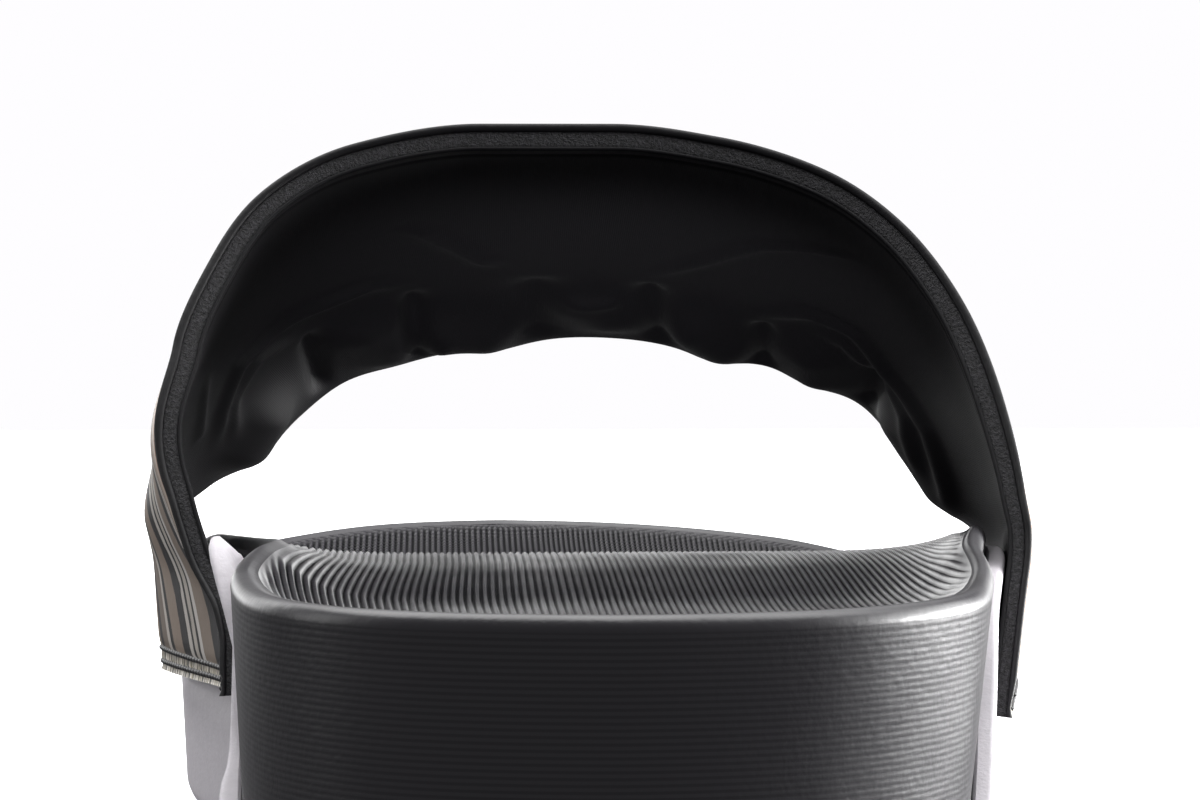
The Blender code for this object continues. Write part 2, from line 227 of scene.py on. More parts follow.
def face_up(item: bpy.types.Object) -> None:
    """Turn an open sheet so that its faces point up.

    Args:
        item: the sheet.
    """
    mesh = bmesh.new()
    mesh.from_mesh(item.data)
    mesh.faces.ensure_lookup_table()
    if sum(face.normal.z for face in mesh.faces) < 0:
        bmesh.ops.reverse_faces(mesh, faces=mesh.faces)
    mesh.to_mesh(item.data)
    mesh.free()


def keep_result(item: bpy.types.Object) -> None:
    """Turn what an object's modifiers make into its plain mesh, and remove them.

    Args:
        item: the object.
    """
    bpy.context.view_layer.update()
    depsgraph = bpy.context.evaluated_depsgraph_get()
    result = bpy.data.meshes.new_from_object(item.evaluated_get(depsgraph), depsgraph=depsgraph)
    old = item.data
    name = old.name
    item.modifiers.clear()
    item.data = result
    bpy.data.meshes.remove(old)
    result.name = name
    result.shade_smooth()


def bake_nodes(item: bpy.types.Object, tree: bpy.types.NodeTree, values: dict[str, object]) -> None:
    """Run a geometry tree on an object and keep the result as its plain mesh.

    Args:
        item: the object.
        tree: the geometry node group.
        values: input names of the group and the values to give them.
    """
    modifier = item.modifiers.new(tree.name, "NODES")
    modifier.node_group = tree
    for socket in tree.interface.items_tree:
        if getattr(socket, "in_out", "") == "INPUT" and socket.name in values:
            modifier[socket.identifier] = values[socket.name]
    keep_result(item)


def declare(item: bpy.types.Object, slot: str, *nodes: str) -> None:
    """Ride a finished piece on the part and hide the CAD nodes it stands for.

    Args:
        item: the finished piece.
        slot: not used.
        nodes: CAD nodes that the piece stands for.
    """
    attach(item, "root")
    if nodes:
        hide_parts(*nodes)


def add_wave(tree: bpy.types.NodeTree, place: bpy.types.NodeSocket, pitch_mm: float,
             operation: str) -> bpy.types.NodeSocket:
    """Add a sine or cosine of a length, with one turn for each pitch.

    Args:
        tree: the shader tree.
        place: the length, in metres.
        pitch_mm: the length of one turn.
        operation: "SINE" or "COSINE".

    Returns:
        The wave, from -1 to 1.
    """
    turn = add_node(tree, "ShaderNodeMath", {"operation": "MULTIPLY"}, {
        0: place, 1: 2 * math.pi / (pitch_mm * MM)})
    return add_node(tree, "ShaderNodeMath", {"operation": operation}, {0: turn.outputs[0]}).outputs[0]


def fill_ramp(ramp: bpy.types.ColorRamp, steps: tuple[tuple[float, str], ...]) -> None:
    """Give a new colour ramp its steps.

    Args:
        ramp: the ramp, with its first two stops.
        steps: where each colour starts, from 0 to 1, and its hex.
    """
    for element, (start, colour) in zip(ramp.elements, (steps[0], steps[-1])):
        element.position = start
        element.color = linear(colour)
    for start, colour in steps[1:-1]:
        ramp.elements.new(start).color = linear(colour)


@dataclass(frozen=True)
class MouldedFoam:
    """Moulded EVA foam with a closed skin: satin, with a faint grain in its gloss."""

    name: str = "Moulded EVA foam, charcoal"
    colour: str = "1b191e"
    # Painted shade: the colour at the bottom of the grooves between the ribs.
    groove_shade_colour: str = "161419"
    roughness: float = 0.38
    grain_mm: float = 1.0
    cloud_mm: float = 14.0
    rib_pitch_mm: float = 0.67
    # Painted shade: the share of the rib tops' gloss left at the bottom of the grooves.
    groove_shade_gloss: float = 0.8
    shine: float = 0.6
    crossed_from_mm: float = 0.0
    crossed_over_mm: float = 12.0
    crossed_pitch_mm: float = 1.5
    crossed_height: float = 1.2

    def make(self) -> bpy.types.Material:
        """Build the material.

        Returns:
            The foam, with painted shade that makes the grooves between its ribs darker and duller.
        """
        material, tree, shader = new_material(self.name)
        place = add_node(tree, "ShaderNodeTexCoord").outputs["Object"]
        # The mould's skin varies a little in gloss, which the eye reads as foam, not hard plastic.
        grain = add_node(tree, "ShaderNodeTexNoise", inputs={
            "Vector": place, "Scale": 1 / (self.grain_mm * MM), "Detail": 4.0})
        cloud = add_node(tree, "ShaderNodeTexNoise", inputs={
            "Vector": place, "Scale": 1 / (self.cloud_mm * MM), "Detail": 2.0})
        gloss = add_node(tree, "ShaderNodeMapRange", inputs={
            "Value": cloud.outputs["Fac"], "From Min": 0.3, "From Max": 0.7,
            "To Min": self.roughness - 0.04, "To Max": self.roughness + 0.05})
        height = grain.outputs["Fac"]
        if self.crossed_from_mm:
            height = self.crossed(tree, place, height)
        bump = add_node(tree, "ShaderNodeBump", inputs={
            "Height": height, "Strength": 0.35, "Distance": 0.12 * MM})
        # Painted shade: the grooves between the ribs are made darker and less glossy than the rib tops.
        groove = self.grooves(tree)
        colour = add_node(tree, "ShaderNodeMix", {"data_type": "RGBA"}, {
            0: groove, 6: linear(self.colour), 7: linear(self.groove_shade_colour)})
        shine = add_node(tree, "ShaderNodeMapRange", inputs={
            "Value": groove, "To Min": self.shine, "To Max": self.shine * self.groove_shade_gloss})
        tree.links.new(colour.outputs[2], shader.inputs["Base Color"])
        tree.links.new(shine.outputs["Result"], shader.inputs["Specular IOR Level"])
        tree.links.new(gloss.outputs["Result"], shader.inputs["Roughness"])
        tree.links.new(bump.outputs["Normal"], shader.inputs["Normal"])
        return material

    def grooves(self, tree: bpy.types.NodeTree) -> bpy.types.NodeSocket:
        """Find the grooves from the ribs' attributes on the mesh.

        Args:
            tree: the shader tree.

        Returns:
            A socket that is 1 at the bottom of a groove and 0 on a rib or a smooth part.
        """
        run = add_node(tree, "ShaderNodeAttribute", {"attribute_name": "rib_run"})
        mask = add_node(tree, "ShaderNodeAttribute", {"attribute_name": "rib_mask"})
        wave = add_wave(tree, run.outputs["Fac"], self.rib_pitch_mm, "COSINE")
        low = add_node(tree, "ShaderNodeMapRange", {"interpolation_type": "SMOOTHSTEP"}, {
            "Value": wave, "From Min": 0.5, "From Max": -0.7})
        return add_node(tree, "ShaderNodeMath", {"operation": "MULTIPLY"}, {
            0: low.outputs["Result"], 1: mask.outputs["Fac"]}).outputs[0]

    def crossed(self, tree: bpy.types.NodeTree, place: bpy.types.NodeSocket,
                grain: bpy.types.NodeSocket) -> bpy.types.NodeSocket:
        """Add shallow cross cuts that break the ribs into beads over the forefoot.

        Args:
            tree: the shader tree.
            place: the Object coordinates.
            grain: the height to add to.

        Returns:
            The combined height.
        """
        along = add_node(tree, "ShaderNodeSeparateXYZ", inputs={0: place}).outputs["Y"]
        wave = add_wave(tree, along, self.crossed_pitch_mm, "SINE")
        start = (self.crossed_from_mm + FRAME_SHIFT[1]) * MM
        reach = add_node(tree, "ShaderNodeMapRange", inputs={
            "Value": along, "From Min": start, "From Max": start + self.crossed_over_mm * MM,
            "To Min": 0.0, "To Max": self.crossed_height})
        beads = add_node(tree, "ShaderNodeMath", {"operation": "MULTIPLY"}, {
            0: wave, 1: reach.outputs["Result"]})
        total = add_node(tree, "ShaderNodeMath", {"operation": "ADD"}, {
            0: beads.outputs[0], 1: grain})
        return total.outputs[0]


@dataclass(frozen=True)
class CarrierFoam:
    """Unpainted moulded foam of the outer sole: matte, pale lavender grey, faintly mottled."""

    name: str = "Moulded EVA foam, pale grey"
    pale: str = "c6c2c7"
    dull: str = "b0acb1"
    roughness: float = 0.62
    mottle_mm: float = 1.6
    grain_mm: float = 0.5

    def make(self) -> bpy.types.Material:
        """Build the material.

        Returns:
            The pale foam.
        """
        material, tree, shader = new_material(self.name)
        place = add_node(tree, "ShaderNodeTexCoord").outputs["Object"]
        # Small soft clouds, as where beads of foam fused, keep the wall from looking painted.
        mottle = add_node(tree, "ShaderNodeTexNoise", inputs={
            "Vector": place, "Scale": 1 / (self.mottle_mm * MM), "Detail": 5.0, "Roughness": 0.6})
        colour = add_node(tree, "ShaderNodeMix", {"data_type": "RGBA"}, {
            0: mottle.outputs["Fac"], 6: linear(self.dull), 7: linear(self.pale)})
        grain = add_node(tree, "ShaderNodeTexNoise", inputs={
            "Vector": place, "Scale": 1 / (self.grain_mm * MM), "Detail": 3.0})
        bump = add_node(tree, "ShaderNodeBump", inputs={
            "Height": grain.outputs["Fac"], "Strength": 0.4, "Distance": 0.15 * MM})
        shader.inputs["Roughness"].default_value = self.roughness
        tree.links.new(colour.outputs[2], shader.inputs["Base Color"])
        tree.links.new(bump.outputs["Normal"], shader.inputs["Normal"])
        return material


@dataclass(frozen=True)
class SmoothLining:
    """Black brushed-knit lining: deep black, with a little sheen where it turns."""

    name: str = "Brushed knit lining, black"
    colour: str = "0b0a0d"
    roughness: float = 0.62
    specular: float = 0.14
    sheen: float = 0.02
    thread_mm: float = 0.45

    def make(self) -> bpy.types.Material:
        """Build the material.

        Returns:
            The lining.
        """
        material, tree, shader = new_material(self.name)
        place = add_node(tree, "ShaderNodeUVMap", {"uv_map": "UVMap"}).outputs["UV"]
        # The knit is finer than the render shows, so its threads are drawn at about twice size.
        across, along = (
            add_node(tree, "ShaderNodeTexWave", {"bands_direction": way}, {
                "Vector": place, "Scale": 1 / (self.thread_mm * MM) / 2, "Distortion": 0.6})
            for way in ("X", "Y"))
        knit = add_node(tree, "ShaderNodeMath", {"operation": "MULTIPLY"}, {
            0: across.outputs["Fac"], 1: along.outputs["Fac"]})
        bump = add_node(tree, "ShaderNodeBump", inputs={
            "Height": knit.outputs[0], "Strength": 0.25, "Distance": 0.1 * MM})
        shader.inputs["Base Color"].default_value = linear(self.colour)
        shader.inputs["Roughness"].default_value = self.roughness
        shader.inputs["Specular IOR Level"].default_value = self.specular
        shader.inputs["Sheen Weight"].default_value = self.sheen
        shader.inputs["Sheen Roughness"].default_value = 0.4
        tree.links.new(bump.outputs["Normal"], shader.inputs["Normal"])
        return material


@dataclass(frozen=True)
class CutFoam:
    """Cut open-cell foam: dark, with painted shade in its pits and painted highlights as pale specks
    where cell walls catch the light.
    """

    name: str = "Cut open-cell foam, dark"
    # Painted shade in the cells' pits, and painted highlight on the cell walls.
    shaded_pit: str = "050406"
    wall: str = "2e2d31"
    roughness: float = 0.85
    cell_mm: float = 0.42

    def make(self) -> bpy.types.Material:
        """Build the material.

        Returns:
            The cut foam.
        """
        material, tree, shader = new_material(self.name)
        place = add_node(tree, "ShaderNodeTexCoord").outputs["Object"]
        # Cells are drawn at about 0.4 mm, the finest that still reads as specks from behind. Their
        # colour is painted shade in the pits and painted highlight on the cell walls.
        cells = add_node(tree, "ShaderNodeTexNoise", inputs={
            "Vector": place, "Scale": 1 / (self.cell_mm * MM), "Detail": 3.0, "Roughness": 0.7})
        specks = add_node(tree, "ShaderNodeValToRGB", inputs={"Fac": cells.outputs["Fac"]})
        fill_ramp(specks.color_ramp, ((0.42, self.shaded_pit), (0.74, self.wall)))
        bump = add_node(tree, "ShaderNodeBump", inputs={
            "Height": cells.outputs["Fac"], "Strength": 0.9, "Distance": 0.5 * MM})
        shader.inputs["Roughness"].default_value = self.roughness
        tree.links.new(specks.outputs["Color"], shader.inputs["Base Color"])
        tree.links.new(bump.outputs["Normal"], shader.inputs["Normal"])
        return material


@dataclass(frozen=True)
class PrintedSkin:
    """Printed synthetic leather: long brushed stripes of taupe, cream and black on a matte face."""

    name: str = "Printed synthetic leather, striped"
    edge: str = "0b0a0d"
    roughness: float = 0.5
    specular: float = 0.2
    grain_mm: float = 0.9
    width_mm: float = 80.0
    sway_mm: float = 4.0
    fray_mm: float = 2.6
    straight_to_mm: float = 0.6
    frayed_from_mm: float = 5.0
    dash_mm: float = 1.5
    # Where each colour of the hem's dashes starts in the noise.
    dashes: tuple[tuple[float, str], ...] = (
        (0.40, "1a191b"), (0.46, "8d8467"), (0.52, "b9b0a0"), (0.56, "f0ece6"), (0.66, "77705a"),
    )
    # Where each stripe starts, in millimetres from the strap's rear edge.
    stripes: tuple[tuple[float, str], ...] = (
        (0.0, "0b0a0d"), (0.9, "a05c33"), (2.3, "b4a99d"), (8.0, "9a8b7d"), (13.0, "6a5d52"),
        (16.5, "c2bcb6"), (18.6, "0d0c0f"), (19.6, "c2bcb6"), (21.6, "0b0a0d"), (28.5, "7d7064"),
        (37.5, "bab6b1"), (39.5, "101012"), (41.0, "a7a198"), (43.5, "131215"), (45.5, "b3aea7"),
        (48.0, "0d0c0f"), (54.0, "817366"), (62.0, "131215"), (65.0, "afa9a1"), (67.5, "6a5e54"),
        (74.0, "0f0e11"), (78.0, "908171"),
    )

    def make(self) -> bpy.types.Material:
        """Build the material.

        Returns:
            The printed skin.
        """
        material, tree, shader = new_material(self.name)
        place = add_node(tree, "ShaderNodeUVMap", {"uv_map": "UVMap"}).outputs["UV"]
        across = add_node(tree, "ShaderNodeSeparateXYZ", inputs={0: place}).outputs["Y"]
        # The stripes wander and fray like a dry brush, so they read as print and not as piping.
        swayed = self.shifted(tree, place, across, (70.0, 30.0), self.sway_mm, 1.0)
        frayed = self.shifted(tree, place, swayed, (9.0, 0.7), self.fray_mm, 3.0)
        near_edge = add_node(tree, "ShaderNodeMapRange", inputs={
            "Value": across, "From Min": self.straight_to_mm * MM,
            "From Max": self.frayed_from_mm * MM})
        drawn = add_node(tree, "ShaderNodeMix", {"data_type": "FLOAT"}, {
            0: near_edge.outputs["Result"], 2: across, 3: frayed})
        share = add_node(tree, "ShaderNodeMath", {"operation": "DIVIDE"}, {
            0: drawn.outputs[0], 1: self.width_mm * MM})
        striped = add_node(tree, "ShaderNodeValToRGB", inputs={"Fac": share.outputs[0]})
        striped.color_ramp.interpolation = "CONSTANT"
        fill_ramp(striped.color_ramp,
                  tuple((start / self.width_mm, colour) for start, colour in self.stripes))
        dashed = self.hem(tree, across, striped.outputs["Color"])
        edge = add_node(tree, "ShaderNodeAttribute", {"attribute_name": "cut_edge"})
        colour = add_node(tree, "ShaderNodeMix", {"data_type": "RGBA"}, {
            0: edge.outputs["Fac"], 6: dashed, 7: linear(self.edge)})
        # A fine pebble in the skin breaks up its gloss, as pressed leather does.
        grain = add_node(tree, "ShaderNodeTexVoronoi", inputs={
            "Vector": add_node(tree, "ShaderNodeTexCoord").outputs["Object"],
            "Scale": 1 / (self.grain_mm * MM)})
        bump = add_node(tree, "ShaderNodeBump", inputs={
            "Height": grain.outputs["Distance"], "Strength": 0.2, "Distance": 0.12 * MM})
        shader.inputs["Roughness"].default_value = self.roughness
        shader.inputs["Specular IOR Level"].default_value = self.specular
        tree.links.new(colour.outputs[2], shader.inputs["Base Color"])
        tree.links.new(bump.outputs["Normal"], shader.inputs["Normal"])
        return material

    @staticmethod
    def shifted(tree: bpy.types.NodeTree, place: bpy.types.NodeSocket, start: bpy.types.NodeSocket,
                size_mm: tuple[float, float], swing_mm: float, detail: float) -> bpy.types.NodeSocket:
        """Shift a place across the strap by stretched noise.

        Args:
            tree: the shader tree.
            place: the UV place.
            start: the place across the strap.
            size_mm: the noise's size round the strap and across it.
            swing_mm: how far it shifts the place.
            detail: the noise's detail.

        Returns:
            The shifted place across the strap.
        """
        stretched = add_node(tree, "ShaderNodeMapping", inputs={
            "Vector": place, "Scale": (1 / (size_mm[0] * MM), 1 / (size_mm[1] * MM), 1.0)})
        noise = add_node(tree, "ShaderNodeTexNoise", inputs={
            "Vector": stretched.outputs[0], "Scale": 1.0, "Detail": detail})
        return add_node(tree, "ShaderNodeMath", {"operation": "MULTIPLY_ADD"}, {
            0: noise.outputs["Fac"], 1: swing_mm * MM, 2: start}).outputs[0]

    def hem(self, tree: bpy.types.NodeTree, across: bpy.types.NodeSocket,
            print_colour: bpy.types.NodeSocket) -> bpy.types.NodeSocket:
        """Break the print into short dashes on the sewn hem.

        Args:
            tree: the shader tree.
            across: the place across the strap.
            print_colour: the striped print.

        Returns:
            The colour with its hem.
        """
        step = add_node(tree, "ShaderNodeTexNoise", {"noise_dimensions": "1D"}, {
            "W": across, "Scale": 1 / (self.dash_mm * MM), "Detail": 1.0})
        dashed = add_node(tree, "ShaderNodeValToRGB", inputs={"Fac": step.outputs["Fac"]})
        fill_ramp(dashed.color_ramp, self.dashes)
        hem = add_node(tree, "ShaderNodeAttribute", {"attribute_name": "hem"})
        mixed = add_node(tree, "ShaderNodeMix", {"data_type": "RGBA"}, {
            0: hem.outputs["Fac"], 6: print_colour, 7: dashed.outputs["Color"]})
        return mixed.outputs[2]


@dataclass(frozen=True)
class Thread:
    """Bonded polyester thread: black, tight, with a small gloss along each stitch."""

    name: str = "Bonded polyester thread, black"
    colour: str = "121114"
    roughness: float = 0.5
    twist_mm: float = 0.3

    def make(self) -> bpy.types.Material:
        """Build the material.

        Returns:
            The thread.
        """
        material, tree, shader = new_material(self.name)
        place = add_node(tree, "ShaderNodeTexCoord").outputs["Object"]
        # The twist of the thread is drawn as a fine ripple, which breaks up its highlight.
        twist = add_node(tree, "ShaderNodeTexNoise", inputs={
            "Vector": place, "Scale": 1 / (self.twist_mm * MM), "Detail": 2.0})
        bump = add_node(tree, "ShaderNodeBump", inputs={
            "Height": twist.outputs["Fac"], "Strength": 0.5, "Distance": 0.1 * MM})
        shader.inputs["Base Color"].default_value = linear(self.colour)
        shader.inputs["Roughness"].default_value = self.roughness
        tree.links.new(bump.outputs["Normal"], shader.inputs["Normal"])
        return material


@dataclass
class SoleShape:
    """The sole's outline and heights in millimetres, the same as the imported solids'."""

    length: float = 284.0
    heel_width: float = 80.0
    ball_width: float = 109.0
    rim_height: float = 41.0
    seat_height: float = 35.5
    width_grows_from: float = 0.25
    width_grows_over: float = 0.40
    toe_lift: float = 9.0
    toe_from: float = 0.72
    toe_power: float = 1.7
    waist_lift: float = 2.5
    waist_from: float = 0.27
    waist_to: float = 0.58
    heel_bevel: float = 2.0
    heel_bevel_to: float = 0.045
    inner_draft_deg: float = 3.0
    outer_draft_deg: float = 6.0
    rim_rounding: float = 1.6
    rim_band: float = 4.0
    inner_rim_band: float = 3.0
    outer_rim_band: float = 2.5
    heel_turn: float = 0.42
    heel_turn_over: float = 0.5
    rim_band_fall: float = 0.6
    cup_wall: float = 2.4
    cup_floor: float = 6.0
    touch_gap: float = 0.3
    bed_power: float = 8.0
    spine_from: float = 0.14
    spine_to: float = 0.84
    least_reach: float = 0.5
    bowl_overlap: float = 6.0
    # Share of the length, then the inner and the outer edge as shares of the width there.
    outline: tuple[tuple[float, ...], ...] = (
        (0.000, 0.000, 0.000),
        (0.018, -0.275, 0.275),
        (0.070, -0.438, 0.450),
        (0.158, -0.494, 0.523),
        (0.264, -0.487, 0.562),
        (0.370, -0.444, 0.574),
        (0.493, -0.452, 0.540),
        (0.616, -0.469, 0.524),
        (0.722, -0.478, 0.516),
        (0.828, -0.468, 0.462),
        (0.916, -0.405, 0.352),
        (0.975, -0.262, 0.165),
        (1.000, -0.064, -0.064),
    )
    # Share of the length, the inner rim, the outer rim, the bed and the lip's drop. The bed is a
    # share of the seat's height, and the others are shares of the rim's.
    heights: tuple[tuple[float, ...], ...] = (
        (0.000, 1.000, 1.000, 0.985, 0.700),
        (0.070, 1.005, 1.005, 1.000, 0.700),
        (0.158, 1.020, 1.015, 1.000, 0.680),
        (0.220, 1.030, 1.025, 1.005, 0.480),
        (0.264, 1.034, 1.035, 1.015, 0.250),
        (0.317, 1.024, 1.040, 1.045, 0.140),
        (0.370, 1.005, 1.035, 1.070, 0.095),
        (0.430, 0.980, 1.010, 1.070, 0.065),
        (0.493, 0.958, 0.960, 1.010, 0.045),
        (0.563, 0.930, 0.885, 0.900, 0.045),
        (0.616, 0.880, 0.825, 0.820, 0.070),
        (0.722, 0.785, 0.745, 0.735, 0.125),
        (0.828, 0.735, 0.722, 0.725, 0.160),
        (0.916, 0.745, 0.750, 0.765, 0.185),
        (0.975, 0.775, 0.775, 0.800, 0.195),
        (1.000, 0.785, 0.785, 0.810, 0.195),
    )

    def column(self, rows: tuple[tuple[float, ...], ...], column: int, along: Array) -> Array:
        """Read one column of a table at shares of the length, with smooth slopes.

        Args:
            rows: the table.
            column: which column to read.
            along: shares of the length.

        Returns:
            The values.
        """
        table = np.array(rows)
        knots = np.arccos(1 - 2 * table[:, 0])
        values = table[:, column]
        last = len(knots) - 1
        place = np.arccos(1 - 2 * np.clip(along, 0.0, 1.0))
        index = np.clip(np.searchsorted(knots, place, side="left") - 1, 0, last - 1)
        before = np.maximum(index - 1, 0)
        after = np.minimum(index + 2, last)
        step = knots[index + 1] - knots[index]
        slope_in = (values[index + 1] - values[before]) / (knots[index + 1] - knots[before]) * step
        slope_out = (values[after] - values[index]) / (knots[after] - knots[index]) * step
        share = (place - knots[index]) / step
        return hermite(values[index], values[index + 1], slope_in, slope_out, share)

    def side_x(self, along: Array, side: Array) -> Array:
        """Return the rim outline's x at shares of the length.

        Args:
            along: shares of the length.
            side: -1 on the inner side, 1 on the outer side.

        Returns:
            The x places.
        """
        grown = smoothstep((along - self.width_grows_from) / self.width_grows_over)
        width = self.heel_width + (self.ball_width - self.heel_width) * grown
        inner = self.column(self.outline, 1, along)
        outer = self.column(self.outline, 2, along)
        return np.where(np.asarray(side) > 0, outer, inner) * width

    def rim(self, along: Array, side: Array) -> Array:
        """Return the rim's height on one side."""
        inner = self.column(self.heights, 1, along)
        outer = self.column(self.heights, 2, along)
        return np.where(np.asarray(side) > 0, outer, inner) * self.rim_height

    def bed(self, along: Array) -> Array:
        """Return the height of the bed's middle."""
        return self.column(self.heights, 3, along) * self.seat_height

    def lip_drop(self, along: Array) -> Array:
        """Return how far the cup's lip lies under the rim."""
        return self.column(self.heights, 4, along) * self.rim_height

    def bottom(self, along: Array) -> Array:
        """Return the underside's height: bevelled at the heel, lifted at the waist and the toe.

        Args:
            along: shares of the length.

        Returns:
            The heights.
        """
        heel = np.clip(1 - along / self.heel_bevel_to, 0, 1)
        waist = np.clip((along - self.waist_from) / (self.waist_to - self.waist_from), 0, 1)
        toe = np.clip((along - self.toe_from) / (1 - self.toe_from), 0, 1)
        return (self.heel_bevel * heel ** 2 + self.waist_lift * np.sin(math.pi * waist) ** 2
                + self.toe_lift * toe ** self.toe_power)

    def slope(self, facing: Array) -> Array:
        """Return the wall's inward run for each unit of drop, where its normal's x is facing."""
        draft = mix(self.inner_draft_deg, self.outer_draft_deg, (1 + facing) / 2)
        return np.tan(np.radians(draft))

    def band_width(self, angles: Array) -> Array:
        """Return the width of the rim's smooth band: broad at the heel, narrow at the sides.

        Args:
            angles: angles round the outline, 0 at the heel.

        Returns:
            The widths.
        """
        from_heel = np.minimum(angles % (2 * math.pi), -angles % (2 * math.pi))
        side = np.where(np.sin(angles) > 0, self.outer_rim_band, self.inner_rim_band)
        return mix(self.rim_band, side, smoothstep((from_heel - self.heel_turn) / self.heel_turn_over))

    def ring(self, angles: Array) -> dict[str, Array]:
        """Return the stations at angles round the outline, 0 at the heel and pi at the toe.

        Args:
            angles: angles from 0 to two pi, by way of the outer side.

        Returns:
            Arrays by name: along, the share of the length; x, y and the outward nx, ny; the heights
            rim, floor and lip; and slope, the wall's run for each unit of drop.
        """
        nudge = 0.02
        along, side, place = self.station(angles)
        tangent = self.station(angles + nudge)[2] - self.station(angles - nudge)[2]
        tangent /= np.linalg.norm(tangent, axis=0)
        rim = self.rim(along, side)
        return {
            "along": along, "x": place[0], "y": place[1], "nx": tangent[1], "ny": -tangent[0],
            "rim": rim, "floor": self.bottom(along), "lip": rim - self.lip_drop(along),
            "slope": self.slope(tangent[1]),
        }

    def station(self, angles: Array) -> tuple[Array, Array, Array]:
        """Return where angles round the outline lie.

        Args:
            angles: angles from the heel, by way of the outer side.

        Returns:
            Shares of the length, sides, and x over y.
        """
        along = (1 - np.cos(angles)) / 2
        side = np.where(np.sin(angles) >= 0, 1, -1)
        return along, side, np.stack([self.side_x(along, side), along * self.length])

    def band_ring(self) -> tuple[dict[str, Array], Array]:
        """Return fine stations all round, and the inner edge of the rim's band at each of them."""
        angles = np.linspace(0, 2 * math.pi, 2 * RING_STEPS + 1)
        ring = self.ring(angles)
        return ring, self.at(ring, -self.band_width(angles), 0.0)

    def at(self, ring: dict[str, Array], offset: Array, z: Array) -> Array:
        """Return the ring's points moved out by an offset, at a height.

        Args:
            ring: stations from ring().
            offset: distance outward.
            z: heights.

        Returns:
            One point per station.
        """
        x = ring["x"] + ring["nx"] * offset
        y = ring["y"] + ring["ny"] * offset
        return np.stack([x, y, z + 0 * x], axis=-1)

    def spine(self, along: Array) -> Array:
        """Return the middle line's x."""
        held = np.clip(along, self.spine_from, self.spine_to)
        return (self.side_x(held, 1) + self.side_x(held, -1)) / 2

    def on_spine(self, ring: dict[str, Array]) -> Array:
        """Return the points of the middle line that stations close in on, at the floor."""
        y = np.clip(ring["y"], self.spine_from * self.length, self.spine_to * self.length)
        return np.stack([self.spine(ring["along"]), y, 0 * y], axis=-1)

    def toward_middle(self, ring: dict[str, Array], height: Callable[[Array], Array], offset: Array,
                      share: float) -> Array:
        """Return a ring drawn in toward the middle line, at a height read along the sole.

        Args:
            ring: stations from ring().
            height: gives the height at shares of the length.
            offset: distance outward of the ring at its widest.
            share: 0 at its widest, 1 on the middle line.

        Returns:
            One point per station.
        """
        placed = mix(self.at(ring, offset, 0.0), self.on_spine(ring), share)
        placed[:, 2] = height(np.clip(placed[:, 1] / self.length, 0, 1))
        return placed

    def bed_surface(self, x: Array, y: Array) -> tuple[Array, Array]:
        """Return the bed's height and the distance in from the rim band.

        Args:
            x: places across.
            y: places along.

        Returns:
            Heights and distances.
        """
        ring, band = self.band_ring()
        outer, inner = band[:RING_STEPS + 1], band[RING_STEPS:][::-1]
        along = y / self.length
        middle = self.spine(along)
        on_outer = x >= middle
        edge = np.where(on_outer, np.interp(y, outer[:, 1], outer[:, 0]),
                        np.interp(y, inner[:, 1], inner[:, 0]))
        reach = np.maximum(np.abs(edge - middle), self.least_reach)
        share = 1 - np.abs(x - middle) / reach
        rim = self.rim(along, np.where(on_outer, 1, -1))
        # Past each end of the middle line the bed rises all round one point, like a bowl.
        for end, sign in ((self.spine_from, -1), (self.spine_to, 1)):
            centre = np.array([self.spine(np.array([end]))[0], end * self.length])
            past = sign * (y - centre[1]) > 0
            keep = sign * (band[:, 1] - centre[1]) > -self.bowl_overlap
            turn = np.arctan2(band[keep, 0] - centre[0], sign * (band[keep, 1] - centre[1]))
            radius = np.hypot(band[keep, 0] - centre[0], band[keep, 1] - centre[1])
            order = np.argsort(turn)
            own_turn = np.arctan2(x - centre[0], sign * (y - centre[1]))
            own_radius = np.interp(own_turn, turn[order], radius[order])
            own_rim = np.interp(own_turn, turn[order], ring["rim"][keep][order])
            away = np.hypot(x - centre[0], y - centre[1])
            share = np.where(past, 1 - away / own_radius, share)
            reach = np.where(past, own_radius, reach)
            rim = np.where(past, own_rim, rim)
        inside = np.clip(share, 0, 1)
        bed = self.bed(along)
        height = bed + (rim - self.rim_band_fall - bed) * (1 - inside) ** self.bed_power
        return height, share * reach


def start_tree(name: str, sizes: dict[str, float]) -> tuple[bpy.types.NodeTree, bpy.types.Node]:
    """Start a geometry tree with a mesh, named sizes and a material as its inputs.

    Args:
        name: the tree's name.
        sizes: input names and their usual values, in metres.

    Returns:
        The tree and its input node.
    """
    tree = bpy.data.node_groups.new(name, "GeometryNodeTree")
    tree.interface.new_socket("Geometry", in_out="OUTPUT", socket_type="NodeSocketGeometry")
    tree.interface.new_socket("Geometry", in_out="INPUT", socket_type="NodeSocketGeometry")
    for label, value in sizes.items():
        socket = tree.interface.new_socket(label, in_out="INPUT", socket_type="NodeSocketFloat")
        socket.default_value = value
    tree.interface.new_socket("Material", in_out="INPUT", socket_type="NodeSocketMaterial")
    return tree, add_node(tree, "NodeGroupInput")


def end_tree(tree: bpy.types.NodeTree, given: bpy.types.Node, shape: bpy.types.NodeSocket) -> None:
    """End a geometry tree: make its instances real, dress them and put them out.

    Args:
        tree: the tree.
        given: its input node.
        shape: the geometry to put out.
    """
    real = add_node(tree, "GeometryNodeRealizeInstances", inputs={0: shape})
    dressed = add_node(tree, "GeometryNodeSetMaterial", inputs={
        "Geometry": real.outputs[0], "Material": given.outputs["Material"]})
    add_node(tree, "NodeGroupOutput", inputs={0: dressed.outputs[0]})


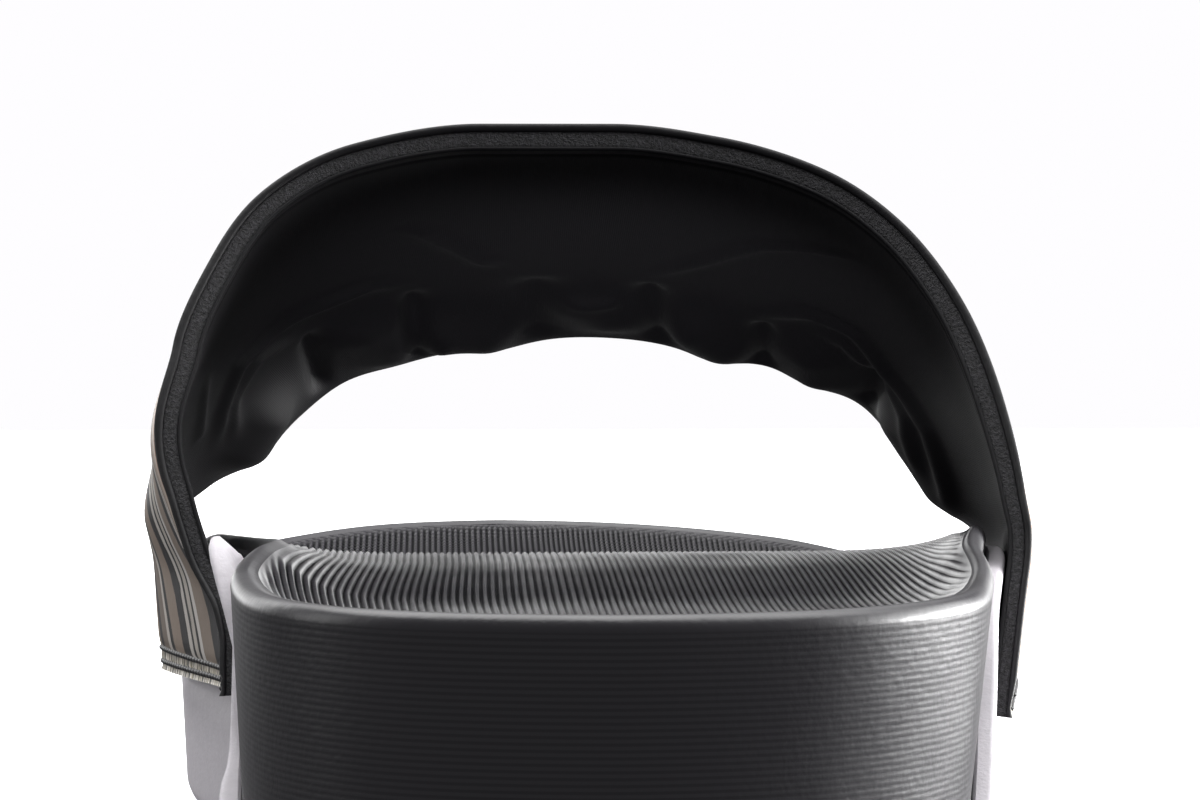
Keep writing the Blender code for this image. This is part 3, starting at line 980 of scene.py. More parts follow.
def rib_tree() -> bpy.types.NodeTree:
    """Build the geometry tree that raises moulded ribs, and beads where they are broken.

    Returns:
        The node group. Its inputs are the pitch and depth of the ribs, the pitch of the beads
        and the material.
    """
    tree, given = start_tree("Moulded ribs", {
        "Rib pitch": 0.82 * MM, "Rib depth": 0.3 * MM, "Bead pitch": 1.75 * MM})

    def attribute(label: str) -> bpy.types.NodeSocket:
        """Read an attribute of the mesh."""
        return add_node(tree, "GeometryNodeInputNamedAttribute", {"data_type": "FLOAT"},
                        {"Name": label}).outputs["Attribute"]

    def maths(operation: str, first: object, second: object = 0.0) -> bpy.types.NodeSocket:
        """Work on two values or sockets."""
        return add_node(tree, "ShaderNodeMath", {"operation": operation},
                        {0: first, 1: second}).outputs[0]

    def swell(turns: bpy.types.NodeSocket) -> bpy.types.NodeSocket:
        """Turn a count of turns into a wave from 0 to 1."""
        wave = maths("COSINE", maths("MULTIPLY", turns, 2 * math.pi))
        return maths("MULTIPLY", maths("ADD", wave, 1.0), 0.5)

    turns = maths("DIVIDE", attribute("rib_run"), given.outputs["Rib pitch"])
    # Every other rib's beads are moved half a pitch along.
    row = maths("MULTIPLY", maths("FLOORED_MODULO", maths("ROUND", turns), 2.0), 0.5)
    bead_turns = maths("DIVIDE", attribute("bead_run"), given.outputs["Bead pitch"])
    bead = swell(maths("ADD", bead_turns, row))
    missing = maths("MULTIPLY", maths("SUBTRACT", 1.0, bead), attribute("bead_mask"))
    profile = maths("MULTIPLY", swell(turns), maths("SUBTRACT", 1.0, missing))
    raised = maths("MULTIPLY", maths("MULTIPLY", profile, attribute("rib_mask")),
                   given.outputs["Rib depth"])
    normal = add_node(tree, "GeometryNodeInputNormal")
    offset = add_node(tree, "ShaderNodeVectorMath", {"operation": "SCALE"}, {
        0: normal.outputs["Normal"], "Scale": raised})
    moved = add_node(tree, "GeometryNodeSetPosition", inputs={
        "Geometry": given.outputs["Geometry"], "Offset": offset.outputs[0]})
    end_tree(tree, given, moved.outputs[0])
    return tree


def stitch_tree() -> bpy.types.NodeTree:
    """Build the geometry tree that sews stitches along the edges of a mesh.

    Returns:
        The node group. Its inputs are the stitches' pitch, length, width and material.
    """
    tree, given = start_tree("Stitches", {
        "Pitch": 3 * MM, "Length": 2.5 * MM, "Width": 0.8 * MM})
    path = add_node(tree, "GeometryNodeMeshToCurve", inputs={"Mesh": given.outputs["Geometry"]})
    spaced = add_node(tree, "GeometryNodeResampleCurve", {"mode": "LENGTH"}, {
        "Curve": path.outputs[0], "Length": given.outputs["Pitch"]})
    tangent = add_node(tree, "GeometryNodeInputTangent")
    turned = add_node(tree, "FunctionNodeAlignRotationToVector", {"axis": "X"}, {
        "Vector": tangent.outputs[0]})
    bead = add_node(tree, "GeometryNodeMeshUVSphere", inputs={
        "Segments": 8, "Rings": 6, "Radius": 0.5})
    size = add_node(tree, "ShaderNodeCombineXYZ", inputs={
        0: given.outputs["Length"], 1: given.outputs["Width"], 2: given.outputs["Width"]})
    sewn = add_node(tree, "GeometryNodeInstanceOnPoints", inputs={
        "Points": spaced.outputs[0], "Instance": bead.outputs["Mesh"],
        "Rotation": turned.outputs[0], "Scale": size.outputs[0]})
    end_tree(tree, given, sewn.outputs[0])
    return tree


@dataclass
class Outsole:
    """The pale outer sole: an open cup with a rounded lip, and wavy grooves underneath."""

    shape: SoleShape
    foam: bpy.types.Material
    stations: int = 300
    under_rings: int = 13
    wall_rings: int = 17
    sharp_deg: float = 35.0
    merge: float = 0.02
    lip_rounding: float = 0.8
    lip_edge: float = 0.35
    edge_rounding: float = 3.0
    groove_depth: float = 1.5
    groove_width: float = 2.6
    groove_pitch: float = 9.5
    groove_wave: float = 2.2
    groove_steps: int = 12
    groove_start: float = -6.0
    groove_reach: float = 0.75
    # Where each field of grooves starts and ends, as shares of the length.
    tread_fields: tuple[tuple[float, float], ...] = ((0.075, 0.285), (0.545, 0.945))
    seat_depth: float = 1.15
    seat_from: float = 35.0
    seat_deepens_over: float = 40.0
    seat_to: float = 184.0
    seat_fades_over: float = 12.0
    seat_low: float = 17.0
    seat_low_blend: float = 3.0
    seat_high: float = 37.0
    seat_high_blend: float = 5.0
    ear_from: float = 60.0
    ear_rises_over: float = 22.0
    ear_to: float = 90.5
    ear_falls_over: float = 9.0
    ear_top: float = 43.2
    ear_lean: float = 3.3
    lean_from: float = 37.0
    lean_over: float = 7.0
    ear_flare: float = 0.7
    flare_from: float = 32.5
    flare_over: float = 10.0
    inner_ring_heights: tuple[float, ...] = (41.0, 38.0, 35.0)

    def build(self) -> list[bpy.types.Object]:
        """Build the cup and cut its grooves.

        Returns:
            The outer sole, alone.
        """
        cup = self.make_cup()
        grooves = self.make_grooves()
        boolean = cup.modifiers.new("Tread grooves", "BOOLEAN")
        boolean.operation = "DIFFERENCE"
        boolean.solver = "EXACT"
        boolean.object = grooves
        keep_result(cup)
        cup.data.set_sharp_from_angle(angle=math.radians(self.sharp_deg))
        bpy.data.objects.remove(grooves)
        declare(cup, "outsole", "outsole")
        return [cup]

    def make_cup(self) -> bpy.types.Object:
        """Make the cup as rings round the outline, from the underside's middle to the floor inside.

        Returns:
            The cup without its grooves.
        """
        shape = self.shape
        angles = np.linspace(0, 2 * math.pi, self.stations + 1)[:-1]
        ring = shape.ring(angles)
        inner_side = np.sin(angles) < 0
        beside_strap = (smoothstep((ring["y"] - self.seat_from) / self.seat_deepens_over)
                        * smoothstep((self.seat_to - ring["y"]) / self.seat_fades_over) * inner_side)
        # The lip sweeps up to the strap's rear edge on the inner side, and leans out with it.
        ear = (smoothstep((ring["y"] - self.ear_from) / self.ear_rises_over)
               * smoothstep((self.ear_to - ring["y"]) / self.ear_falls_over) * inner_side)
        lip = ring["lip"] + ear * (self.ear_top - ring["lip"])

        def inside(z: Array) -> Array:
            """Return how far the plain inner face stands out from the bed's outline."""
            return (z - ring["rim"]) * ring["slope"] + shape.touch_gap

        def leant(z: Array) -> Array:
            """Return the inner face's offset where it leans out at the ear."""
            return inside(z) + self.ear_lean * ear * smoothstep((z - self.lean_from) / self.lean_over)

        def outside(z: Array) -> Array:
            """Work out the outer face's offset, with the strap's seat and the ear's flare.

            Args:
                z: heights.

            Returns:
                Distances out from the bed's outline.
            """
            seat = (self.seat_depth * beside_strap
                    * smoothstep((z - self.seat_low) / self.seat_low_blend)
                    * smoothstep((self.seat_high - z) / self.seat_high_blend))
            flare = (self.ear_flare * self.ear_lean * ear
                     * smoothstep((z - self.flare_from) / self.flare_over))
            return inside(z) + shape.cup_wall - seat + flare

        def floor_inside(along: Array) -> Array:
            """Return the height of the cup's floor."""
            return shape.bottom(along) + shape.cup_floor

        rounding = self.edge_rounding
        edge = outside(ring["floor"] + rounding) - rounding
        rings = [shape.toward_middle(ring, shape.bottom, edge, share)
                 for share in np.linspace(1, 0, self.under_rings)]
        for turn in np.radians(np.linspace(15, 75, 5)):
            rings.append(shape.at(ring, edge + rounding * math.sin(turn),
                                  ring["floor"] + rounding * (1 - math.cos(turn))))
        for share in np.linspace(0, 1, self.wall_rings):
            z = mix(ring["floor"] + rounding, lip - self.lip_rounding, share)
            rings.append(shape.at(ring, outside(z), z))
        for turn in np.radians((22.5, 45, 67.5, 90)):
            z = lip - self.lip_rounding * (1 - math.sin(turn))
            rings.append(shape.at(ring, outside(z) - self.lip_rounding * (1 - math.cos(turn)), z))
        rings.append(shape.at(ring, leant(lip) + self.lip_edge, lip))
        rings.append(shape.at(ring, leant(lip), lip - self.lip_edge))
        # Where the lip is low, the rings inside keep a little under it and in their order.
        highest = self.inner_ring_heights[0]
        for height in self.inner_ring_heights:
            z = np.minimum(lip - 0.5 - (highest - height) * 0.1, height)
            rings.append(shape.at(ring, leant(z), z))
        deep = inside(ring["floor"] + shape.cup_floor)
        rings += [shape.toward_middle(ring, floor_inside, deep, share) for share in (0.0, 0.5, 1.0)]
        return make_object("outer_sole", np.concatenate(rings),
                           grid_faces(len(rings), len(angles), closed=True), self.foam,
                           merge_mm=self.merge, sharp_deg=self.sharp_deg)

    def make_grooves(self) -> bpy.types.Object:
        """Make the wavy bars that cut the tread's grooves.

        Returns:
            All the bars as one object.
        """
        shape = self.shape
        reach = shape.ball_width * self.groove_reach
        points, faces = [], []
        for start, end in self.tread_fields:
            for groove in range(int((end - start) * shape.length / self.groove_pitch) + 1):
                middle = start * shape.length + groove * self.groove_pitch
                base = len(points)
                for step in range(self.groove_steps + 1):
                    x = -reach + 2 * reach * step / self.groove_steps
                    y = middle + self.groove_wave * math.cos(math.pi * step)
                    rear, front = y - self.groove_width / 2, y + self.groove_width / 2
                    top = shape.bottom(np.array([rear, front]) / shape.length) + self.groove_depth
                    points += [(x, rear, self.groove_start), (x, front, self.groove_start),
                               (x, front, top[1]), (x, rear, top[0])]
                for step in range(self.groove_steps):
                    row = base + step * 4
                    faces += [(row + k, row + (k + 1) % 4, row + 4 + (k + 1) % 4, row + 4 + k)
                              for k in range(4)]
                last = base + self.groove_steps * 4
                faces += [(base + 3, base + 2, base + 1, base), (last, last + 1, last + 2, last + 3)]
        return make_object("grooves", np.array(points), faces, self.foam)


@dataclass
class Footbed:
    """The ribbed foam foot bed: its top, its smooth rim and its ribbed wall."""

    shape: SoleShape
    foam: bpy.types.Material
    top_foam: bpy.types.Material
    ribs: bpy.types.NodeTree
    rib_pitch: float = 0.82
    rib_depth: float = 0.40
    wall_pitch: float = 0.67
    wall_depth: float = 0.012
    bead_pitch: float = 1.45
    steps_per_rib: int = 5
    merge: float = 0.004
    top_rows: int = 170
    top_reach: float = 58.0
    ends_crowding: float = 0.35
    fade: float = 1.6
    oval_centre: tuple[float, float] = (-1.0, 15.5)
    oval_size: tuple[float, float] = (6.0, 3.6)
    oval_depth: float = 0.25
    heel_fan: float = 0.14
    fan_from: float = 12.0
    fan_over: float = 75.0
    arch_reach: float = 42.0
    # Distance from the heel, and how far the inner ribs bend toward the middle there.
    arch_rows: tuple[tuple[float, float], ...] = (
        (0.0, 0.0), (75.0, 0.0), (105.0, 3.0), (140.0, 3.0), (175.0, 0.0), (284.0, 0.0))
    heel_half_turn: float = 0.62
    heel_stations: int = 201
    other_stations: int = 160
    wall_height: float = 29.5
    below_lip: float = 2.0
    floor_gap: float = 0.5
    tuck: float = 0.06
    ribs_start: float = 0.3
    ribs_rise_over: float = 0.7
    dimple_reach: float = 26.0
    dimple_fade: float = 14.0

    def build(self) -> list[bpy.types.Object]:
        """Build the bed's pieces.

        Returns:
            The top, and the rim with its wall.
        """
        top = self.make_top()
        wall = self.make_wall()
        declare(top, "footbed")
        declare(wall, "footbed", "footbed")
        return [top, wall]

    def make_top(self) -> bpy.types.Object:
        """Make the bed's top as ribs that run from the heel to the toe and bend at the arch.

        Returns:
            The ribbed top.
        """
        shape = self.shape
        band = shape.band_ring()[1]
        outer, inner = band[:RING_STEPS + 1], band[RING_STEPS:][::-1]
        eased = (1 - np.cos(np.linspace(0, math.pi, self.top_rows))) / 2
        even = np.linspace(0, 1, self.top_rows)
        y = mix(band[0, 1], band[RING_STEPS, 1], mix(even, eased, self.ends_crowding))
        step = self.rib_pitch / self.steps_per_rib
        count = int(self.top_reach / step)
        run = np.arange(-count, count + 1) * step
        arch = np.interp(y, *np.array(self.arch_rows).T)
        near_arch = smoothstep(np.clip(-run / self.arch_reach, 0, 1))
        fan = 1 + self.heel_fan * smoothstep((y - self.fan_from) / self.fan_over)
        fanned = np.where(run < 0, run * fan[:, None], run + 0 * fan[:, None])
        x = fanned + arch[:, None] * near_arch[None, :]
        low = np.interp(y, inner[:, 1], inner[:, 0])[:, None]
        high = np.interp(y, outer[:, 1], outer[:, 0])[:, None]
        outside = (x < low) | (x > high)
        x = np.clip(x, low, high)
        places = y[:, None] + 0 * x
        height, depth_in = shape.bed_surface(x.ravel(), places.ravel())
        height = height.reshape(x.shape)
        depth_in = np.where(outside, 0.0, depth_in.reshape(x.shape))
        # A plain smooth oval lies a little sunk at the heel, and the ribs end round it.
        oval = np.hypot((x - self.oval_centre[0]) / self.oval_size[0],
                        (places - self.oval_centre[1]) / self.oval_size[1])
        mask = smoothstep(depth_in / self.fade) * smoothstep((oval - 0.97) / 0.10)
        height = height - self.oval_depth * (1 - smoothstep((oval - 0.95) / 0.1))
        item = make_object(
            "footbed_top", np.stack([x, places, height], axis=-1).reshape(-1, 3),
            grid_faces(len(y), len(run)), self.top_foam, merge_mm=self.merge, attributes={
                "rib_run": np.tile(run, len(y)) * MM, "rib_mask": mask.ravel(),
                "bead_run": places.ravel() * MM, "bead_mask": np.zeros(mask.size),
            })
        face_up(item)
        self.raise_ribs(item, self.rib_pitch, self.rib_depth, self.top_foam)
        return item

    def raise_ribs(self, item: bpy.types.Object, pitch: float, depth: float,
                   foam: bpy.types.Material) -> None:
        """Raise the ribs on a piece that carries their attributes.

        Args:
            item: the piece.
            pitch: the ribs' pitch.
            depth: their depth.
            foam: the piece's finish.
        """
        bake_nodes(item, self.ribs, {
            "Rib pitch": pitch * MM, "Rib depth": depth * MM,
            "Bead pitch": self.bead_pitch * MM, "Material": foam})

    def make_wall(self) -> bpy.types.Object:
        """Make the rim's smooth band and the ribbed wall under it, down into the cup.

        Returns:
            The rim and wall.
        """
        shape = self.shape
        half = self.heel_half_turn
        angles = np.concatenate([
            np.linspace(-half, half, self.heel_stations),
            np.linspace(half, 2 * math.pi - half, self.other_stations + 2)[1:-1]])
        ring = shape.ring(angles)
        plain = 0 * angles
        rings = [(points, plain, plain) for points in self.rim_rings(ring, shape.band_width(angles))]
        top = ring["rim"] - shape.rim_rounding
        low = ring["lip"] - self.below_lip
        steps = int(round(self.wall_height / self.wall_pitch * self.steps_per_rib))
        for share in np.linspace(0, 1, steps):
            z = mix(top, low, share)
            points = shape.at(ring, (z - ring["rim"]) * ring["slope"], z)
            mask = smoothstep((top - z + self.ribs_start) / self.ribs_rise_over)
            rings.append((points, z - ring["rim"], mask))
        # Under the lip the wall turns in and closes over the cup's floor.
        foot = rings[-1][0]
        for share in (self.tuck, 1.0):
            closing = mix(foot, shape.on_spine(ring), share)
            closing[:, 2] = (shape.bottom(closing[:, 1] / shape.length) + shape.cup_floor
                             + self.floor_gap)
            rings.append((closing, plain, plain))
            foot = closing
        points, runs, masks = (np.concatenate(values) for values in zip(*rings))
        around = np.concatenate([[0], np.cumsum(np.hypot(np.diff(ring["x"]), np.diff(ring["y"])))])
        from_middle = np.abs(around - around[self.heel_stations // 2])
        dimples = smoothstep((self.dimple_reach - from_middle) / self.dimple_fade) * (
            np.abs(angles) < 1.0)
        item = make_object(
            "footbed_wall", points, grid_faces(len(rings), len(angles), closed=True), self.foam,
            merge_mm=self.merge, attributes={
                "rib_run": runs * MM, "rib_mask": masks,
                "bead_run": np.tile(around, len(rings)) * MM,
                "bead_mask": np.tile(dimples, len(rings)),
            })
        self.raise_ribs(item, self.wall_pitch, self.wall_depth, self.foam)
        return item

    def rim_rings(self, ring: dict[str, Array], band_width: Array) -> list[Array]:
        """Return the rings of the rim's flat band and of its rounding.

        Args:
            ring: stations from ring().
            band_width: the band's width at each station.

        Returns:
            The rings, from the bed outward.
        """
        shape = self.shape
        rounding = shape.rim_rounding
        rings = []
        for share in np.linspace(0, 1, 6):
            z = ring["rim"] - shape.rim_band_fall * (1 - smoothstep(share))
            rings.append(shape.at(ring, mix(-band_width, -rounding, share), z))
        start = -rounding * ring["slope"]
        for turn in np.radians(np.linspace(80, 10, 8)):
            offset = start + (-rounding - start) * (1 - math.cos(turn))
            rings.append(shape.at(ring, offset, ring["rim"] - rounding * (1 - math.sin(turn))))
        return rings


@dataclass
class StrapShape:
    """The strap's inner face in millimetres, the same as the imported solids'."""

    sole: SoleShape
    foot_rear: float = 23.0
    foot_front: float = 19.0
    crown_rear: float = 88.9
    crown_front: float = 64.0
    rear_foot_reach: float = 87.0
    rear_crown_reach: float = 130.0
    front_foot_reach: float = 172.0
    front_crown_reach: float = 206.0
    bulge: float = 1.6
    pad: float = 2.5
    pad_foot: float = 1.6
    cover: float = 0.8
    thickens_from: float = 0.2
    thickens_over: float = 0.45
    # From the inner foot to the outer: how far across and how high the rear edge is, and then the
    # front edge, as shares of the half width and of the crown's height.
    rows: tuple[tuple[float, ...], ...] = (
        (-1.000, 0.018, -1.000, 0.000),
        (-1.000, 0.175, -1.000, 0.300),
        (-1.065, 0.360, -1.000, 0.420),
        (-1.110, 0.500, -0.915, 0.530),
        (-1.080, 0.620, -0.800, 0.640),
        (-0.985, 0.755, -0.690, 0.750),
        (-0.855, 0.875, -0.560, 0.865),
        (-0.635, 0.962, -0.390, 0.945),
        (-0.330, 1.000, -0.190, 0.985),
        (0.000, 1.000, 0.050, 1.000),
        (0.260, 0.975, 0.250, 0.980),
        (0.500, 0.917, 0.430, 0.940),
        (0.680, 0.820, 0.600, 0.875),
        (0.830, 0.660, 0.745, 0.775),
        (0.915, 0.495, 0.850, 0.630),
        (0.968, 0.360, 0.940, 0.470),
        (1.000, 0.230, 1.000, 0.330),
        (1.000, -0.022, 1.000, 0.000),
    )

    def row_values(self, place: Array) -> Array:
        """Read all columns of the strap's table at places between its rows.

        Args:
            place: row numbers, with fractions.

        Returns:
            One line of four values for each place.
        """
        table = np.array(self.rows)
        last = len(table) - 1
        index = np.clip(place.astype(int), 0, last - 1)
        share = (place - index)[:, None]
        step = table[index + 1] - table[index]
        before = np.where((index > 0)[:, None], table[index] - table[np.maximum(index - 1, 0)], step)
        after = np.where((index + 2 <= last)[:, None],
                         table[np.minimum(index + 2, last)] - table[index + 1], step)

        def slope(first: Array, second: Array) -> Array:
            """Return the harmonic mean of two steps, or 0 where they turn back."""
            total = np.where(np.abs(first + second) < 1e-12, 1.0, first + second)
            return np.where(first * second <= 0, 0.0, 2 * first * second / total)

        return hermite(table[index], table[index + 1], slope(before, step), slope(step, after), share)

    def wall_x(self, along: Array, side: int, z: Array) -> Array:
        """Return the x of the strap's seat on the cup's wall, straight up above the rim.

        Args:
            along: shares of the sole's length.
            side: -1 on the inner side, 1 on the outer side.
            z: heights.

        Returns:
            The x places.
        """
        sole = self.sole
        nudge = 0.01
        ahead = sole.side_x(along + nudge, side)
        behind = sole.side_x(along - nudge, side)
        run = (ahead - behind) / (2 * nudge * sole.length)
        normal_x = side / np.sqrt(1 + run * run)
        rim = sole.rim(along, side)
        gap = sole.touch_gap
        offset = (np.minimum(z, rim) - rim) * sole.slope(normal_x) + gap + sole.cup_wall + gap
        return sole.side_x(along, side) + offset / normal_x

    def face(self, place: Array, share: Array) -> tuple[Array, Array, Array]:
        """Return the inner face as a grid, its outward normals and how far it has thickened.

        Args:
            place: row numbers of the table, with fractions.
            share: 0 at the rear edge, 1 at the front edge.

        Returns:
            Points and normals by row and share, and one ripeness for each row.
        """
        rear_across, rear_rise, front_across, front_rise = self.row_values(place).T[:, :, None]
        across_strap = share[None, :]
        y = mix(mix(self.rear_foot_reach, self.rear_crown_reach, rear_rise),
                mix(self.front_foot_reach, self.front_crown_reach, front_rise), across_strap)
        z = mix(mix(self.foot_rear, self.crown_rear, rear_rise),
                mix(self.foot_front, self.crown_front, front_rise), across_strap)
        along = y / self.sole.length
        inner = self.wall_x(along, -1, z)
        outer = self.wall_x(along, 1, z)
        across = mix(rear_across, front_across, across_strap)
        grid = np.stack([(inner + outer) / 2 + across * (outer - inner) / 2, y, z], axis=-1)
        rise = ((rear_rise + front_rise) / 2)[:, 0]
        swell = self.bulge * np.sin(math.pi * share)[None, :] * smoothstep(rise)[:, None]
        grid = grid + self.normals(grid) * swell[..., None]
        ripe = smoothstep((rise - self.thickens_from) / self.thickens_over)
        return grid, self.normals(grid), ripe

    @staticmethod
    def normals(grid: Array) -> Array:
        """Work out the outward normals of a grid of points.

        Args:
            grid: points by row and column.

        Returns:
            Unit normals, one for each point.
        """
        around = np.gradient(grid, axis=0)
        forward = np.gradient(grid, axis=1)
        normal = np.cross(around, forward)
        return normal / np.linalg.norm(normal, axis=-1, keepdims=True)


@dataclass(frozen=True)
class Fold:
    """One soft ridge, pillow or crease of the lining, drawn over the strap.

    The places run round the strap from its inner foot (0) to its outer foot (1), and across it
    from its rear edge (0) to its front edge (1). Width and rise are in millimetres, and a
    negative rise is a crease.
    """

    places: tuple[tuple[float, float], ...]
    width: float
    rise: float
    tapers: bool = True


LINING_FOLDS = (
    Fold(((0.268, 0.87), (0.236, 0.92)), 7.5, 3.6, False),
    Fold(((0.388, 0.82), (0.395, 0.92)), 6.5, 2.6, False),
    Fold(((0.440, 0.90), (0.465, 0.93)), 6.5, 3.6, False),
    Fold(((0.526, 0.83), (0.540, 0.88)), 6.0, 2.2, False),
    Fold(((0.605, 0.88), (0.630, 0.93)), 7.0, 3.6, False),
    Fold(((0.700, 0.86), (0.710, 0.93)), 6.5, 3.0, False),
    Fold(((0.800, 0.88), (0.860, 0.93)), 8.0, 3.4, False),
    Fold(((0.352, 0.70), (0.326, 0.99)), 2.0, -1.8),
    Fold(((0.429, 0.69), (0.412, 0.99)), 2.0, -2.0),
    Fold(((0.500, 0.68), (0.494, 0.99)), 2.8, -1.6),
    Fold(((0.562, 0.70), (0.585, 0.99)), 2.4, -2.0),
    Fold(((0.650, 0.78), (0.668, 1.00)), 2.2, -1.8),
    Fold(((0.741, 0.74), (0.765, 0.97)), 2.2, -2.0),
    Fold(((0.205, 0.84), (0.247, 0.669), (0.285, 0.575), (0.332, 0.588), (0.374, 0.625),
          (0.406, 0.631), (0.434, 0.690)), 1.7, 1.1),
    Fold(((0.225, 0.84), (0.262, 0.690), (0.300, 0.640), (0.345, 0.700)), 1.5, 0.8),
    Fold(((0.632, 0.84), (0.650, 0.756), (0.679, 0.669), (0.715, 0.650), (0.750, 0.731),
          (0.809, 0.750), (0.860, 0.840), (0.900, 0.940)), 1.7, 1.1),
    Fold(((0.679, 0.745), (0.715, 0.730), (0.741, 0.770), (0.788, 0.790), (0.850, 0.900)), 1.5, 0.8),
    Fold(((0.432, 0.356), (0.456, 0.506), (0.479, 0.644)), 1.3, 0.8),
    Fold(((0.560, 0.700), (0.600, 0.544), (0.626, 0.413), (0.665, 0.300), (0.700, 0.200)), 1.3, 0.7),
    Fold(((0.250, 0.380), (0.230, 0.520), (0.205, 0.700)), 1.8, 0.6),
    Fold(((0.508, 0.790), (0.552, 0.790)), 1.4, 0.5),
)


class End(Enum):
    """The strap's two feet, by the row of its grid."""

    INNER_FOOT = 0
    OUTER_FOOT = -1


@dataclass
class Strap:
    """The padded strap: lining with its folds, foam core, printed skin and stitches."""

    shape: StrapShape
    lining: bpy.types.Material
    foam: bpy.types.Material
    skin: bpy.types.Material
    thread: bpy.types.Material
    stitches: bpy.types.NodeTree
    steps: int = 16
    edge_share: float = 0.06
    edge_columns: int = 13
    columns: int = 97
    lining_thickness: float = 0.55
    lining_bulk: float = 0.45
    least_gap: float = 0.12
    least_cover: float = 0.35
    skin_thickness: float = 1.15
    skin_foot_gain: float = 0.3
    foot_seat: float = 1.05
    seat_to: float = 0.20
    seat_blend: float = 0.10
    foot_flare: float = 2.5
    flare_from: float = 0.10
    flare_over: float = 0.18
    flare_to: float = 0.62
    flare_fades_over: float = 0.22
    flare_share: float = 0.5
    seam_in: float = 2.0
    seam_depth: float = 0.25
    seam_width: float = 0.45
    stitch_rows: tuple[float, float] = (1.2, 3.0)
    stitch_sink: float = 0.35
    stitch_sink_width: float = 0.7
    stitch_lift: float = 0.02
    stitch_pitch: float = 2.3
    stitch_length: float = 2.6
    thread_width: float = 0.8
    hem_blend: float = 0.5
    lining_rounding: float = 0.25
    foam_rounding: float = 0.1
    skin_rounding: float = 0.4
    first_stitch_column: int = 4
    last_stitch_margin: int = 2
    folds_length: float = 215.0
    folds_width: float = 80.0

    def build(self) -> list[bpy.types.Object]:
        """Build the strap's layers and its stitches.

        Returns:
            The lining, the foam, the skin and the stitches.
        """
        shape = self.shape
        place = np.linspace(0, len(shape.rows) - 1, (len(shape.rows) - 1) * self.steps + 1)
        share = np.concatenate([np.linspace(0, self.edge_share, self.edge_columns),
                                np.linspace(self.edge_share, 1, self.columns)[1:]])
        grid, normals, ripe = shape.face(place, share)
        inner_foot = (place < len(shape.rows) / 2)[:, None]
        rise = (grid[..., 2] - shape.foot_rear) / (shape.crown_rear - shape.foot_rear)
        # The rear edge stands off from the sole a little just above its inner foot.
        stands_off = (inner_foot * smoothstep((rise - self.flare_from) / self.flare_over)
                      * smoothstep((self.flare_to - rise) / self.flare_fades_over)
                      * (1 - smoothstep(share[None, :] / self.flare_share)))
        grid = grid + normals * (self.foot_flare * stands_off)[..., None]
        pad = mix(shape.pad_foot, shape.pad, ripe)[:, None]
        total = pad + shape.sole.touch_gap + shape.cover + 0 * share[None, :]
        round_strap = self.run(grid[:, len(share) // 2])
        across_strap = self.run(grid[len(place) // 2])
        from_end = np.minimum(round_strap, round_strap[-1] - round_strap)[:, None]
        skin_under = total - self.skin_thickness + self.skin_foot_gain * (1 - ripe)[:, None]
        # Each row of stitches pulls the skin down a little.
        for row in self.stitch_rows:
            total = total - self.stitch_sink * np.exp(-((from_end - row) / self.stitch_sink_width) ** 2)
        uv = np.stack(np.broadcast_arrays(round_strap[:, None] * MM, across_strap[None, :] * MM), -1)
        lift = self.fold_field(place, share)
        seam = np.exp(-((across_strap[None, :] - self.seam_in) / self.seam_width) ** 2)
        # The inner foot is let into a shallow seat in the cup's wall.
        seat = inner_foot * smoothstep((self.seat_to - rise) / self.seat_blend)
        lift = lift - self.seam_depth * seam + self.foot_seat * seat
        # In a crease the lining sinks into the foam, which gives way under it.
        deepest = skin_under - self.least_gap
        lift = np.maximum(lift, self.least_cover - deepest)
        thick = np.clip(self.lining_bulk - lift, self.lining_thickness, deepest)
        hem = smoothstep((self.stitch_rows[1] - from_end) / self.hem_blend) + 0 * total
        lining = self.layer("strap_lining", grid, normals, -lift, thick, uv, hem, self.lining,
                            self.lining_rounding)
        # The foam's cut edge needs only every other column of the grid.
        coarse = np.unique(np.append(np.arange(0, len(share), 2), len(share) - 1))
        foam = self.layer("strap_foam", *(values[:, coarse] for values in (
            grid, normals, thick, skin_under, uv, hem)), self.foam, self.foam_rounding)
        skin = self.layer("strap_skin", grid, normals, skin_under, total, uv, hem, self.skin,
                          self.skin_rounding)
        declare(lining, "strap_lining", "strap_pad")
        declare(foam, "strap_lining")
        declare(skin, "strap_cover", "strap_cover")
        outer = grid + normals * (total + self.stitch_lift)[..., None]
        return [lining, foam, skin] + [self.make_stitches(end, outer, round_strap) for end in End]

    @staticmethod
    def run(line: Array) -> Array:
        """Return the length run from the start of a line of points to each point."""
        return np.concatenate([[0], np.cumsum(np.linalg.norm(np.diff(line, axis=0), axis=1))])

    def make_stitches(self, end: End, outer: Array, round_strap: Array) -> bpy.types.Object:
        """Sew the rows of stitches across one foot of the strap.

        Args:
            end: which foot.
            outer: the skin's outer face.
            round_strap: length run round the strap to each row.

        Returns:
            The stitches of that foot.
        """
        runs = round_strap if end is End.INNER_FOOT else round_strap[-1] - round_strap
        order = np.argsort(runs)
        points, edges = [], []
        for row in self.stitch_rows:
            start = len(points)
            for column in range(self.first_stitch_column, outer.shape[1] - self.last_stitch_margin):
                points.append([np.interp(row, runs[order], outer[order, column, axis])
                               for axis in range(3)])
            edges += [(index, index + 1) for index in range(start, len(points) - 1)]
        name = "strap_stitches_" + end.name.lower()
        data = bpy.data.meshes.new(name)
        placed = (np.array(points) + np.array(FRAME_SHIFT)) * MM
        data.from_pydata(placed.tolist(), edges, [])
        item = put_in_scene(name, data)
        bake_nodes(item, self.stitches, {
            "Pitch": self.stitch_pitch * MM, "Length": self.stitch_length * MM,
            "Width": self.thread_width * MM, "Material": self.thread})
        declare(item, "strap_cover")
        return item

